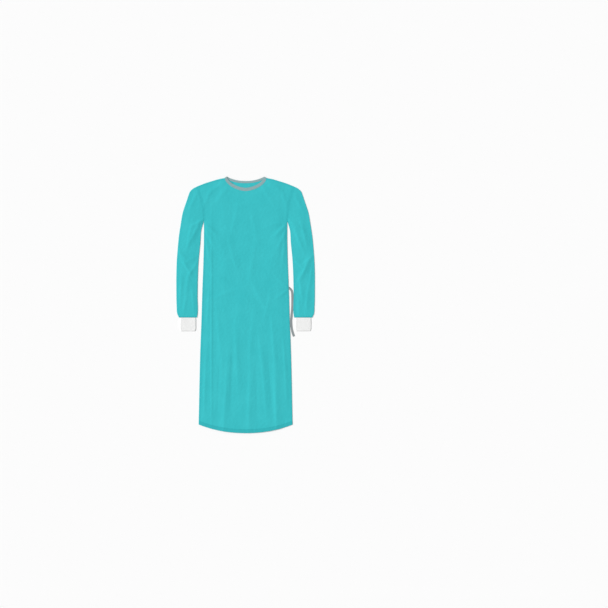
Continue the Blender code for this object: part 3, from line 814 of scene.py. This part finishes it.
CREASES = (
    # across signed, down, half length, half width, height, turn, bend
    # from the armpits into the chest
    (-0.176, 0.262, 0.046, 0.0085, 0.0019, -50, 0.6),
    (-0.180, 0.303, 0.062, 0.0100, 0.0016, -28, 0.4),
    (-0.162, 0.236, 0.040, 0.0080, 0.0011, -76, 0.0),
    (-0.190, 0.352, 0.072, 0.0090, 0.0011, -9, 0.2),
    (0.174, 0.268, 0.050, 0.0090, 0.0020, 46, -0.5),
    (0.183, 0.314, 0.060, 0.0095, 0.0014, 24, -0.4),
    (0.158, 0.234, 0.044, 0.0080, 0.0010, 80, 0.0),
    (0.191, 0.372, 0.078, 0.0095, 0.0012, 5, 0.1),
    # from the neck toward the shoulders and down the chest
    (-0.150, 0.058, 0.050, 0.0090, 0.0011, 56, 0.5),
    (-0.118, 0.088, 0.060, 0.0110, 0.0009, 36, 0.0),
    (-0.192, 0.110, 0.045, 0.0095, 0.0010, 24, 0.0),
    (0.153, 0.056, 0.052, 0.0090, 0.0012, -58, -0.5),
    (0.113, 0.094, 0.062, 0.0115, 0.0009, -33, 0.0),
    (0.195, 0.118, 0.042, 0.0090, 0.0010, -20, 0.0),
    (0.004, 0.140, 0.075, 0.0150, 0.0007, 86, 0.8),
    (-0.052, 0.215, 0.085, 0.0140, 0.0008, 12, -0.3),
    (0.046, 0.250, 0.095, 0.0150, 0.0008, -10, 0.3),
    # about the waist, with some from where the side tie pulls
    (-0.062, 0.392, 0.100, 0.0130, 0.0009, -16, 0.3),
    (0.034, 0.430, 0.110, 0.0150, 0.0009, 9, -0.2),
    (-0.142, 0.500, 0.062, 0.0105, 0.0010, -58, 0.8),
    (0.181, 0.528, 0.036, 0.0075, 0.0012, -52, 0.6),
    (0.178, 0.556, 0.040, 0.0070, 0.0010, -86, 0.0),
    (0.182, 0.588, 0.038, 0.0080, 0.0013, 55, -0.6),
    (-0.100, 0.585, 0.070, 0.0115, 0.0009, 70, 0.5),
    (0.070, 0.600, 0.085, 0.0130, 0.0010, -28, 0.3),
    (0.110, 0.650, 0.080, 0.0110, 0.0008, 12, 0.0),
    (-0.186, 0.640, 0.100, 0.0090, 0.0010, 3, 0.1),
    # down the skirt to the hem
    (-0.1705, 0.755, 0.500, 0.0048, 0.0011, 0, 0.0),
    (-0.203, 1.040, 0.150, 0.0075, 0.0009, 2, 0.0),
    (-0.098, 1.085, 0.200, 0.0135, 0.0014, 4, -0.05),
    (-0.135, 0.770, 0.140, 0.0120, 0.0010, -4, 0.1),
    (-0.044, 0.905, 0.165, 0.0120, 0.0011, -3, 0.08),
    (0.020, 1.120, 0.170, 0.0140, 0.0016, 2, 0.05),
    (0.030, 0.800, 0.120, 0.0130, 0.0009, 6, 0.0),
    (0.092, 1.010, 0.200, 0.0120, 0.0012, -5, -0.06),
    (0.140, 0.830, 0.150, 0.0110, 0.0011, -4, 0.05),
    (0.151, 1.110, 0.150, 0.0115, 0.0015, -2, 0.0),
    (0.198, 0.960, 0.160, 0.0080, 0.0010, -3, 0.0),
    (-0.070, 1.000, 0.170, 0.0090, -0.0007, 2, 0.0),
    (-0.134, 1.060, 0.160, 0.0090, -0.0006, 2, 0.0),
    (0.056, 1.080, 0.150, 0.0095, -0.0007, -2, 0.0),
    (0.122, 1.020, 0.160, 0.0085, -0.0006, -4, 0.0),
    # in the sleeve on the wearer's right
    (-0.247, 0.236, 0.042, 0.0085, 0.0015, 60, -0.5),
    (-0.258, 0.286, 0.060, 0.0090, 0.0017, 26, -0.4),
    (-0.281, 0.300, 0.075, 0.0085, 0.0012, 12, 0.2),
    (-0.262, 0.120, 0.046, 0.0090, 0.0010, 22, 0.0),
    (-0.317, 0.394, 0.042, 0.0085, 0.0015, -44, 0.6),
    (-0.297, 0.448, 0.050, 0.0090, 0.0019, -30, 0.5),
    (-0.264, 0.462, 0.040, 0.0080, 0.0015, 34, -0.6),
    (-0.273, 0.415, 0.034, 0.0080, 0.0010, 62, 0.0),
    (-0.290, 0.530, 0.060, 0.0100, 0.0012, 10, 0.2),
    (-0.324, 0.560, 0.070, 0.0080, 0.0011, 2, 0.0),
    (-0.262, 0.610, 0.055, 0.0080, 0.0011, -5, 0.0),
    (-0.303, 0.640, 0.042, 0.0090, 0.0010, 8, 0.0),
    # in the sleeve on the wearer's left
    (0.249, 0.244, 0.044, 0.0085, 0.0016, -56, 0.5),
    (0.262, 0.306, 0.060, 0.0090, 0.0015, -22, 0.3),
    (0.288, 0.270, 0.065, 0.0085, 0.0012, -14, -0.2),
    (0.264, 0.126, 0.048, 0.0090, 0.0010, -26, 0.0),
    (0.312, 0.420, 0.040, 0.0080, 0.0014, 46, -0.6),
    (0.292, 0.472, 0.050, 0.0090, 0.0018, 27, -0.4),
    (0.262, 0.430, 0.040, 0.0080, 0.0013, -40, 0.6),
    (0.325, 0.505, 0.055, 0.0080, 0.0011, 8, 0.0),
    (0.278, 0.560, 0.060, 0.0100, 0.0012, -8, -0.2),
    (0.308, 0.610, 0.055, 0.0090, 0.0012, 5, 0.0),
    (0.265, 0.645, 0.040, 0.0080, 0.0009, -3, 0.0),
)


def stack_height(x):
    """How high the back panels push the upper cloth: two layers in the middle, one beyond."""
    return LAYER + LAYER * rise(x, *LAYERED_FROM) * (1 - rise(x, *LAYERED_TO))


def front_neck(depth, tip, count):
    """The front neck's rounded V, at equal steps from tip to tip: the power p of the share across
    and the power p of the share of the depth add up to one."""
    angle = np.linspace(-math.pi / 2, math.pi / 2, 2001)
    power = 2.0 / FRONT_NECK_POWER
    across = tip[0] * np.sign(np.sin(angle)) * np.abs(np.sin(angle)) ** power
    down = tip[1] + (depth - tip[1]) * np.abs(np.cos(angle)) ** power
    curve = np.column_stack([across, down])
    return points_at(curve, np.linspace(0.0, run_length(curve)[-1], count + 1))


def both_sides(table, step):
    """A table's smooth curve on both sides of the gown, in X and Y, as two runs of points."""
    curve = dense_curve(table)[::step]
    return [to_xy(curve), to_xy(curve * np.array([-1.0, 1.0]))]


def distance_to(xy, runs):
    """Distance of each point from the nearest of some runs of points joined by straight lines."""
    nearest = np.full(xy.shape[:-1], np.inf)
    for run in runs:
        for start, end in zip(run[:-1], run[1:]):
            reach = end - start
            offset = xy - start
            t = np.clip((offset @ reach) / (reach @ reach), 0.0, 1.0)
            nearest = np.minimum(nearest, np.linalg.norm(offset - t[..., None] * reach, axis=-1))
    return nearest


def upper_height(xy):
    """Underside of the upper cloth, body and sleeves: the stack below it, a soft rise inward from
    each folded edge, the large folds and the creases, and a slow swell, the product of two bent
    sines. Half the sum of the rise and the root of its square with a small one's keeps it above
    the stack."""
    folded = distance_to(xy, FOLDED_EDGES)
    inside = np.minimum(folded, distance_to(xy, [hem_line]))
    rising = PUFF * rise(inside, 0.0, PUFF_REACH)
    rising = rising + ridges(xy, LARGE_FOLDS) * rise(inside, 0.0, PUFF_REACH / 2)
    rising = rising + CREASE_STRENGTH * ridges(xy, CREASES) * rise(folded, 0.0, CREASE_EASE)
    x, y = xy[..., 0], xy[..., 1]
    swell = np.sin(x * 47.0 + 2.1 * np.sin(y * 9.0)) * np.sin(y * 23.0 + 1.3 + 1.6 * np.sin(x * 12.0))
    rising = rising + SWELL * swell * rise(inside, 0.0, PUFF_REACH)
    return stack_height(x) + 0.5 * (rising + np.sqrt(rising**2 + LEAST_RISE**2))


def armpit_pinch(xy):
    """How far the armhole's seam is pinched: a bell along it, highest just above the armpit."""
    return np.exp(-(((LENGTH / 2 - xy[..., 1] - ARMPIT[1] + PINCH_ABOVE) / PINCH_LENGTH) ** 2))


# the lines from which the upper cloth rises, in coarse steps, because they bend slowly
hem_across = np.linspace(-HEM_CORNER[0], HEM_CORNER[0], 25)
hem_line = to_xy(np.column_stack([hem_across, hem_down(hem_across)]))
FOLDED_EDGES = both_sides(SHOULDER, 8) + both_sides(BODY_SIDE, 12)
FOLDED_EDGES += both_sides(SLEEVE_OUTER, 8) + both_sides(SLEEVE_INNER, 8)
FOLDED_EDGES.append(to_xy(front_neck(FRONT_SEAM_DOWN, NECK_SEAM, 24)))

# the cut: shoulders and neck at the top, the hem at the bottom, and the two sides
shoulder_across = np.linspace(SHOULDER_POINT[0], NECK_SEAM[0], 47)
shoulder = np.column_stack([shoulder_across, shoulder_down(shoulder_across)])
top = np.vstack([
    (shoulder * np.array([-1.0, 1.0]))[:-1],
    front_neck(FRONT_SEAM_DOWN, NECK_SEAM, 64),
    shoulder[::-1][1:],
])
top_across = with_fine_ends(top[:, 0])
top = np.column_stack([top_across, np.interp(top_across, top[:, 0], top[:, 1])])
bottom_across = top_across * HEM_CORNER[0] / SHOULDER_POINT[0]
side_down = with_fine_ends(np.linspace(SHOULDER_POINT[1], HEM_CORNER[1], FRONT_ROWS), HEM_STEPS)
side = np.column_stack([side_across(side_down), side_down])
front_grid = patch(
    top,
    np.column_stack([bottom_across, hem_down(bottom_across)]),
    side * np.array([-1.0, 1.0]),
    side,
    share(top_across),
    share(side_down),
)
front_xy = to_xy(front_grid)
x, y = front_xy[..., 0], front_xy[..., 1]
to_top, to_hem, to_right, to_left = depths(front_xy)
to_side = np.minimum(to_right, to_left)

# at the sides and shoulders the cloth rolls down, by a quarter circle, to the back panels' own
closing = both_sides(SHOULDER, 3) + both_sides(BODY_SIDE, 4)
rolled = 1 - round_off(distance_to(front_xy, closing), ROLL)
tie_mouth = TIE_MOUTH * np.exp(-(((LENGTH / 2 - y - TIE_MOUTH_DOWN) / TIE_MOUTH_LENGTH) ** 2)) * (x > 0)
meeting = np.where(x > 0, under_left(x), 0.0) + CLOTH + ROLL_GAP + tie_mouth
front_under = upper_height(front_xy)
front_under = front_under + FRONT_PUCKER * drawn_up(to_hem, x)
front_under = front_under + (meeting - front_under) * rolled
front_over = front_under + CLOTH + hem_thickness(to_hem)

# its edges sink into the seams, most at the armpits, and the hem's fold is rounded
thick = front_over - front_under
fold = 1 - round_off(to_hem, FOLD_ROUNDING)
pinched = armpit_pinch(front_xy)
sinking = 1 - round_off(np.minimum(to_top, to_side), SEAM_REACH + PINCH_REACH * pinched)
sunk = (SEAM_SINK + PINCH_SINK * pinched) * sinking
front_over = front_over - thick * np.minimum(sunk + FOLD_SHARE * fold, MOST_SUNK)
front_under = front_under + thick * FRONT_FOLD_UNDER * fold
front_under, front_over = raised(front_xy, front_under), raised(front_xy, front_over)
doubled = doubled_share(to_hem, seam_distance(x, to_side, to_top))
front = wall("front_panel_cloth", front_under, front_over, front_grid, teal_cloth, doubled)
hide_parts("front_panel")
hem_stitching = row_inside(front_over, to_hem, HEM_DEPTH - STITCH_INSET)
front_row = stitches("front_panel_hem_stitches", hem_stitching[4:-4], 1, teal_thread)


# Side waist tie: the same tape, caught in the left side seam at the waist. It crosses to the
# sleeve, runs down beside it and bends back to the body, flat on the surface.
SIDE_TIE = (
    # across, down
    (0.2172, 0.5570),
    (0.2222, 0.5605),
    (0.2272, 0.5655),
    (0.2310, 0.5730),
    (0.2331, 0.5830),
    (0.2337, 0.5960),
    (0.2338, 0.6180),
    (0.2336, 0.6420),
    (0.2328, 0.6640),
    (0.2310, 0.6830),
    (0.2291, 0.7000),
    (0.2281, 0.7180),
    (0.2283, 0.7370),
    (0.2302, 0.7570),
    (0.2345, 0.7780),
    (0.2420, 0.7990),
)
waist_tie("waist_tie_side", SIDE_TIE, tuck=0.0044, tucked_height=0.00082, mouth_slope=0.70)


# Sleeves: each is one cut sewn into a tube, open at both ends and pressed flat. Its underside
# lies on the surface, its upper side is creased from the armpit and at the elbow, and it is
# gathered a little onto the cuff.
ARMHOLE_GAP = 0.00006
ARMHOLE_SINK = 0.00025
ARMHOLE_PINCH = 0.0005
ARMHOLE_REACH = 0.0010
SLEEVE_FOLD = 0.0017
SLEEVE_INNER_FOLD = 0.0014
SLEEVE_COLUMNS = 60
# shares of the way down a sleeve, close together at both ends and through the gathers
SLEEVE_ROWS = np.concatenate([
    [0.0, 0.0003, 0.0008, 0.0018, 0.0040],
    np.linspace(0.009, 0.925, 112),
    np.linspace(0.930, 0.994, 34),
    [0.9965, 0.9985, 0.9995, 1.0],
])
# the gathers at the cuff, their reach up the sleeve, and how the sleeve sinks into that seam
GATHER_LIFT = 0.0004
GATHER_HEIGHT = 0.00055
GATHER_PITCH = 0.0082
GATHER_DRIFT = 0.041
GATHER_REACH = 0.026
GATHER_UNEVEN = 0.010
GATHER_UNEVEN_PITCH = 0.031
CUFF_SEAM_SINK = 0.0009
CUFF_SEAM_REACH = 0.0022
CUFF_STITCH_INSET = 0.0042


def ring_closed(under, over):
    """Joins a tube's lower and upper halves, given edge to edge, into closed rings."""
    return np.concatenate([under, over[:, -2:0:-1]], axis=1)


def tube(name, outer, inner, uv, finish, doubled=None):
    """An open tube's wall between outer and inner rings, closed by a rim at each end. Its map has
    one column more than its rings, so that it doesn't run back where they close."""
    number = np.arange(outer[..., 0].size).reshape(outer.shape[:2])
    ring = np.hstack([number, number[:, :1]])
    point_of = np.concatenate([ring.ravel(), ring.ravel() + number.size])
    spot = np.arange(ring.size).reshape(ring.shape)
    ends = []
    for row in (spot[0], spot[-1]):
        ends.append(np.stack([row[:-1], row[1:], row[1:] + ring.size, row[:-1] + ring.size], axis=1))
    spots = np.vstack([grid_quads(spot), grid_quads(spot + ring.size)[:, ::-1]] + ends)
    points = np.vstack([outer.reshape(-1, 3), inner.reshape(-1, 3)])
    corner_uv = np.vstack([uv.reshape(-1, 2)] * 2)[spots.ravel()]
    return make_piece(name, points, point_of[spots], corner_uv, finish, doubled)


def drawn_in(xy, amount):
    """Moves a grid's points inward along their rows, by amount at both ends and none between."""
    chord = xy[:, -1] - xy[:, 0]
    length = np.linalg.norm(chord, axis=1)[:, None]
    place = np.linalg.norm(xy - xy[:, :1], axis=2) / length
    return xy + (chord / length)[:, None] * (amount * (1 - 2 * place))[..., None]


def half_rings(xy, low, high, radius):
    """A flattened tube's lower and upper halves between two heights, with round folds at both
    edges: each height nears the middle one by a quarter circle over the fold's radius."""
    first = np.linalg.norm(xy - xy[:, :1], axis=2)
    last = np.linalg.norm(xy - xy[:, -1:], axis=2)
    full = round_off(np.minimum(first, last), radius)
    middle = (low + high) / 2
    return raised(xy, middle + (low - middle) * full), raised(xy, middle + (high - middle) * full)


def metres_along(rings):
    """Length along a tube from its first ring, as the mean of all the lines along it."""
    steps = np.linalg.norm(np.diff(rings, axis=0), axis=2).mean(axis=1)
    return np.concatenate(([0.0], np.cumsum(steps)))


def sleeve(name, side):
    """Sleeve: the patch between the armhole, the two edges and the cuff, as rings of a flat lower
    half and of an upper half at the upper cloth's height. A bell of uneven reach up from the cuff,
    times a sine across, gathers it there. It sinks into the cuff's seam and into the armhole's,
    most above the armpit. The map of both halves is the patch."""
    t = (1 - np.cos(np.linspace(0.0, math.pi, SLEEVE_COLUMNS))) / 2
    armhole, inner, outer = (dense_curve(rows) for rows in (ARMHOLE, SLEEVE_INNER, SLEEVE_OUTER))
    armhole = points_at(armhole[::-1], t * run_length(armhole)[-1])
    inner = points_at(inner, SLEEVE_ROWS * run_length(inner)[-1])
    outer = points_at(outer, SLEEVE_ROWS * run_length(outer)[-1])
    end = inner[-1] + t[:, None] * (outer[-1] - inner[-1])
    grid = patch(armhole, end, inner, outer, t, SLEEVE_ROWS) + np.array([ARMHOLE_GAP, 0.0])
    grid = grid * np.array([side, 1.0])
    xy = to_xy(grid)
    from_top, to_end, from_inner, _ = depths(xy)
    low = np.zeros(xy.shape[:2])
    high = upper_height(xy) + CLOTH
    reach = GATHER_REACH + GATHER_UNEVEN * np.sin(from_inner * 2 * math.pi / GATHER_UNEVEN_PITCH + side)
    drawn = np.exp(-np.abs(to_end / reach) ** 1.5)
    drift = 0.9 * np.sin(from_inner * 2 * math.pi / GATHER_DRIFT)
    waves = np.sin(from_inner * 2 * math.pi / GATHER_PITCH + drift)
    high = high + drawn * (GATHER_LIFT + GATHER_HEIGHT * waves)
    high = high - CUFF_SEAM_SINK * (1 - rise(to_end, 0.0, CUFF_SEAM_REACH))
    pinched = armpit_pinch(xy)
    sinking = 1 - round_off(from_top, ARMHOLE_REACH + PINCH_REACH * pinched)
    high = high - (ARMHOLE_SINK + ARMHOLE_PINCH * pinched) * sinking
    outer_low, outer_high = half_rings(xy, low, high, SLEEVE_FOLD)
    inner_xy = drawn_in(xy, CLOTH)
    inner_low, inner_high = half_rings(inner_xy, low + CLOTH, high - CLOTH, SLEEVE_INNER_FOLD)
    outside = ring_closed(outer_low, outer_high)
    inside = ring_closed(inner_low, inner_high)
    uv = ring_closed(grid, grid)
    uv = np.hstack([uv, uv[:, :1]])
    sewn = np.minimum(np.minimum(from_top, to_end), from_inner)
    doubled = doubled_share(np.full(sewn.shape, FAR_OFF), sewn)
    doubled = ring_closed(doubled, doubled)
    piece = tube(f"{name}_cloth", outside, inside, uv, teal_cloth, doubled)
    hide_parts(name)
    seam = row_inside(raised(xy, high), to_end, CUFF_STITCH_INSET)
    row = stitches(f"{name}_cuff_stitches", seam[5:-5], 1, teal_thread)


sleeve("sleeve_right", -1)
sleeve("sleeve_left", 1)


# Cuffs: each is a tube of white rib knit sewn to a sleeve's gathered end, a little narrower
# toward the hand, where it folds back into itself. Its ribs run along it all the way round.
SEAM_GAP = 0.0003
CUFF_MIDDLE = 0.2880
# the knit's wall, the space inside it, its rounded sides, and how it sinks at the sleeve's seam
CUFF_WALL = 0.0015
CUFF_HOLLOW = 0.0005
CUFF_INSET = 0.8 * CUFF_WALL
CUFF_FOLD = 0.0034
CUFF_INNER_FOLD = 0.0010
CUFF_SWELL = 0.0003
CUFF_SINK = 0.0006
CUFF_SINK_REACH = 0.003
# the fold at the hand: its radius, and the shares of the height by which the two faces close
HAND_FOLD = 0.0050
HAND_CLOSE_DOWN = 0.36
HAND_CLOSE_UP = 0.25
# the ribs round the cuff, with how they rise from the seam and flatten at the hand
CUFF_RIBS = 20
RIB_HEIGHT = 0.0005
RIB_POWER = 0.8
RIB_START = 0.006
RIB_END = 0.004
RIB_FLATTENING = 0.8
LOWER_RIBS = 0.8
RIB_POINTS = 8
STITCHES_ACROSS = 80
STITCH_ON_MAP = 0.001
CUFF_STATIONS = 34
CUFF_ROWS = (
    # half width, down
    (0.0385, 0.7048),
    (0.0388, 0.7200),
    (0.0390, 0.7450),
    (0.0385, 0.7620),
    (0.0345, 0.7720),
)


def knit_finish(name, dark, light):
    """Rib knit: columns of V stitches, four to a rib and 0.9 mm long, with a little fuzz, and painted
    shade:
    its colour darkens with the stitches' height, between columns and in each course's dip. The cuff's map
    gives each stitch 1 mm round it, and metres along it."""
    finish, tree, shader = start_finish(name, roughness=0.95, specular=0.1)
    shader.inputs["Sheen Weight"].default_value = 0.1
    shader.inputs["Sheen Roughness"].default_value = 0.7
    place = cloth_place(tree)
    parts = add_node(tree, "ShaderNodeSeparateXYZ", {}, {}, {0: place})
    column = math_node(tree, "FRACT", math_node(tree, "MULTIPLY", parts.outputs[0], 1000.0))
    aside = math_node(tree, "ABSOLUTE", math_node(tree, "SUBTRACT", column, 0.5))
    slanted = math_node(tree, "MULTIPLY", aside, 1.3)
    slanted = math_node(tree, "MULTIPLY_ADD", parts.outputs[1], 1110.0, slanted)
    course = math_node(tree, "SINE", math_node(tree, "MULTIPLY", slanted, 2 * math.pi))
    furrow = math_node(tree, "COSINE", math_node(tree, "MULTIPLY", aside, 2 * math.pi))
    height = math_node(tree, "MULTIPLY_ADD", course, 0.6, furrow)
    fuzz = noise(tree, place, scale=2500.0, detail=2.0)
    shade = math_node(tree, "MULTIPLY_ADD", fuzz, 0.4, 0.5)
    # painted shade: the colour follows the stitches' height, darker in the furrows between columns and
    # the dips of each course
    shade = math_node(tree, "MULTIPLY_ADD", height, 0.12, shade)
    tree.links.new(colour_between(tree, shade, dark, light), shader.inputs["Base Color"])
    bump_chain(tree, shader, ((height, 0.00007), (fuzz, 0.00004)))
    return finish


def cuff(name, side):
    """Cuff: rings of a lower and an upper half, with points from -1 to 1 across. Each rib is one
    turn of a cosine, made rounder by a power, and stands out on both faces. The ribs rise from
    the seam, a slow sine lifts the upper face a little, and the two faces close in a quarter
    circle at the hand's end."""
    table = dense_curve(CUFF_ROWS)
    place = with_fine_ends(np.linspace(0.0, run_length(table)[-1], CUFF_STATIONS))
    rows = points_at(table, place)
    edge = 1 - np.geomspace(0.0004, 0.02, 6)
    t = np.unique(np.concatenate([np.linspace(-1.0, 1.0, CUFF_RIBS * RIB_POINTS + 1), edge, -edge]))
    across = CUFF_MIDDLE + t[None] * rows[:, :1]
    down = np.repeat(rows[:, 1:], len(t), axis=1) + SEAM_GAP
    grid = np.dstack([across * side, down])
    xy = to_xy(grid)
    wave = (0.5 - 0.5 * np.cos((t + 1) * CUFF_RIBS * math.pi)) ** RIB_POWER
    flattened = RIB_FLATTENING * rise(place, place[-1] - RIB_END, place[-1])
    ease = rise(place, 0.0, RIB_START) * (1 - flattened)
    closing = (1 - round_off(place[-1] - place, HAND_FOLD))[:, None]
    sinking = (1 - rise(place, 0.0, CUFF_SINK_REACH))[:, None]
    top = 2 * CUFF_WALL + CUFF_HOLLOW
    high = top + (RIB_HEIGHT * wave + CUFF_SWELL * np.sin(t * 3.0 + side))[None] * ease[:, None]
    high = high - HAND_CLOSE_DOWN * top * closing - CUFF_SINK * sinking
    low = LOWER_RIBS * RIB_HEIGHT * (1 - wave)[None] * ease[:, None] + HAND_CLOSE_UP * top * closing
    outer_low, outer_high = half_rings(xy, low, high, CUFF_FOLD)
    level = np.full(xy.shape[:2], CUFF_WALL)
    inner_xy = drawn_in(xy, CUFF_INSET)
    inner_low, inner_high = half_rings(inner_xy, level, level + CUFF_HOLLOW, CUFF_INNER_FOLD)
    outside = ring_closed(outer_low, outer_high)
    inside = ring_closed(inner_low, inner_high)
    turn = np.concatenate([t + 1, 3 - t[-2:0:-1], [4.0]]) / 2
    round_it = turn[None] * STITCHES_ACROSS * STITCH_ON_MAP
    uv = np.dstack(np.broadcast_arrays(round_it, metres_along(outside)[:, None]))
    piece = tube(f"{name}_knit", outside, inside, uv, white_knit)
    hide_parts(name)


white_knit = knit_finish("white rib knit", (0.72, 0.73, 0.72, 1.0), (0.91, 0.91, 0.905, 1.0))
cuff("cuff_right", -1)
cuff("cuff_left", 1)


# Neck binding: one strip folded lengthwise over the raw neck edges and stitched through. It runs
# from the right back panel's free edge up to the neck's tip, round the front and back to the
# left panel's free edge, and its fold is the open neck's edge.
BINDING = 0.0012
NECK_TIP = (0.0920, 0.0013)
FRONT_EDGE_DOWN = 0.0560
BACK_EDGE_DOWN = 0.0220
BACK_GAP = 1.2 * SEAM_GAP
TIP_STEPS = 14
BACK_STATIONS = 70
FRONT_STATIONS = 131
FOLD_REACH = 0.0011
BINDING_STITCH_INSET = 0.0014
# the lip: how far it lies past the seam on the panel's upper face, and how it starts and ends
LIP = 0.0016
LIP_THICKNESS = 0.00042
LIP_FROM_TIP = (0.002, 0.012)
LIP_START = (-0.0009, 0.0002)
LIP_ROUNDING = 0.0004
LIP_OVER_FRONT = 0.00022
LIP_OVER_BACK = 0.00006
LIP_END_UP = 0.00015
LIP_END_DOWN = 0.00018
BAND_PLACES = (0.0, 0.01, 0.03, 0.07, 0.14, 0.25, 0.40, 0.55, 0.70, 0.80, 0.88, 0.94, 1.0)
LIP_PLACES = (0.25, 0.6, 0.85, 0.95, 1.0)


def binding_finish(name, dark, light):
    """Binding strip: cloth like the panels', with a faint rib across it, and faint painted shade in the
    rib's furrows.
    """
    finish, tree, shader = start_finish(name, roughness=0.82, specular=0.15)
    place = cloth_place(tree)
    parts = add_node(tree, "ShaderNodeSeparateXYZ", {}, {}, {0: place})
    rib = math_node(tree, "SINE", math_node(tree, "MULTIPLY", parts.outputs[1], 5200.0))
    mottle = noise(tree, place, scale=90.0, detail=4.0)
    # painted shade: a faint darkening of the colour that follows the rib's height
    shade = math_node(tree, "MULTIPLY_ADD", rib, 0.06, mottle)
    tree.links.new(colour_between(tree, shade, dark, light), shader.inputs["Base Color"])
    bump_chain(tree, shader, ((mottle, 0.0004), (rib, 0.00004)))
    return finish


def back_run(side, edge, height):
    """Stations of the binding along a back panel, at equal steps across: the seam point and the
    free point on their own neck curves, and the outward normal, which is down."""
    along = np.linspace(0.0, 1.0, BACK_STATIONS)
    seam_across = -edge + along * (NECK_SEAM[0] + edge)
    free_across = -edge + along * (NECK_TIP[0] + edge)
    seam_down = back_neck_down(seam_across, BACK_SEAM_DOWN, NECK_SEAM) - BACK_GAP
    free_down = back_neck_down(free_across, BACK_EDGE_DOWN, NECK_TIP)
    flip = np.array([side, 1.0])
    seam = to_xy(np.column_stack([seam_across, seam_down]) * flip)
    free = to_xy(np.column_stack([free_across, free_down]) * flip)
    level = np.full((BACK_STATIONS, 1), height)
    down = np.tile([0.0, 0.0, -1.0], (BACK_STATIONS, 1))
    return np.hstack([seam, level]), np.hstack([free, level]), down


def tip_run(side, z_back, z_front):
    """Stations where the binding turns round a neck tip, a half circle from back to front."""
    seam = to_xy(np.array([NECK_SEAM[0] * side, NECK_SEAM[1]]))
    tip = to_xy(np.array([NECK_TIP[0] * side, NECK_TIP[1]]))
    crease = (tip - seam) / np.linalg.norm(tip - seam)
    outward = np.array([crease[1] * side, -crease[0] * side])
    angle = math.pi * np.arange(1, TIP_STEPS)[:, None] / TIP_STEPS
    radius = (z_front - z_back) / 2
    reach = outward * radius * np.sin(angle)
    height = z_back + radius * (1 - np.cos(angle))
    normal = np.hstack([outward * np.sin(angle), -np.cos(angle)])
    return np.hstack([seam + reach, height]), np.hstack([tip + reach, height]), normal


# stations along the strip: the right back, the right tip, the front, the left tip and the left back
tip_levels = stack_height(np.array([-NECK_SEAM[0], NECK_SEAM[0]])) + BINDING / 2
front_seam = (NECK_SEAM[0] - SEAM_GAP, NECK_SEAM[1])
front_seam = to_xy(front_neck(FRONT_SEAM_DOWN - SEAM_GAP, front_seam, FRONT_STATIONS - 1))
front_free = to_xy(front_neck(FRONT_EDGE_DOWN, NECK_TIP, FRONT_STATIONS - 1))
front_level = (stack_height(front_seam[:, 0]) + BINDING / 2)[:, None]
right_level, left_level = BINDING / 2, UNDER_LEFT + BINDING / 2
runs = [
    back_run(-1, BACK_EDGE, right_level),
    tip_run(-1, right_level, tip_levels[0]),
    (
        np.hstack([front_seam, front_level]),
        np.hstack([front_free, front_level]),
        np.tile([0.0, 0.0, 1.0], (FRONT_STATIONS, 1)),
    ),
    tuple(part[::-1] for part in tip_run(1, left_level, tip_levels[1])),
    tuple(part[::-1] for part in back_run(1, BACK_UNDERLAP, left_level)),
]
seam_points, free_points, normals = (np.vstack(parts) for parts in zip(*runs))
which = np.concatenate([np.full(len(run[0]), k) for k, run in enumerate(runs)])
facing = np.where(which == 2, 1.0, -1.0)[:, None]
flat_run = (which % 2 == 0).astype(float)

# across the strip: from its round fold, half its thickness to each side, to the seam, and on from
# there as a thin lip on the panel's upper face, which the two tips don't have
tips = to_xy(np.array([NECK_SEAM, (-NECK_SEAM[0], NECK_SEAM[1])]))
from_tip = np.linalg.norm(seam_points[:, None, :2] - tips[None], axis=2).min(axis=1)
lip = LIP * rise(from_tip, *LIP_FROM_TIP) * flat_run
cross = seam_points - free_points
width = np.linalg.norm(cross, axis=1)
cross = cross / width[:, None]
v = width[:, None] * np.array(BAND_PLACES)[None]
v = np.hstack([v, width[:, None] + lip[:, None] * np.array(LIP_PLACES)[None]])
bulge = BINDING / 2 * round_off(v, FOLD_REACH)
on_lip = rise(v - width[:, None], *LIP_START) * (lip[:, None] > 0)
lip_end = 1 - round_off(width[:, None] + lip[:, None] - v, LIP_ROUNDING)
panel_top = CLOTH - BINDING / 2 + np.where(facing > 0, LIP_OVER_FRONT, LIP_OVER_BACK)
lip_low = panel_top + LIP_END_UP * lip_end
lip_high = panel_top + LIP_THICKNESS - LIP_END_DOWN * lip_end
outer = bulge * (1 - on_lip) + np.where(facing > 0, lip_high, -lip_low) * on_lip
inner = -bulge * (1 - on_lip) + np.where(facing > 0, lip_low, -lip_high) * on_lip
spine = free_points[:, None] + cross[:, None] * v[..., None]
outer = spine + normals[:, None] * outer[..., None]
inner = spine + normals[:, None] * inner[..., None]
along = run_length((seam_points + free_points) / 2)
binding_uv = np.dstack(np.broadcast_arrays(v, along[:, None]))
pale_binding = binding_finish("pale grey binding", (0.225, 0.363, 0.380, 1.0), (0.290, 0.430, 0.445, 1.0))
pale_thread = thread_finish("pale grey sewing thread", (0.205, 0.320, 0.335, 1.0))
binding = wall("neck_binding_strip", inner, outer, binding_uv, pale_binding)
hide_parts("neck_binding")
stitched = seam_points - cross * BINDING_STITCH_INSET + np.array([0.0, 0.0, BINDING / 2])
binding_rows = [
    stitches("neck_binding_front_stitches", stitched[which == 2][4:-4], 1, pale_thread),
    stitches("neck_binding_right_stitches", stitched[which == 0][2:-8], 1, pale_thread),
    stitches("neck_binding_left_stitches", stitched[which == 4][8:-2], 1, pale_thread),
]
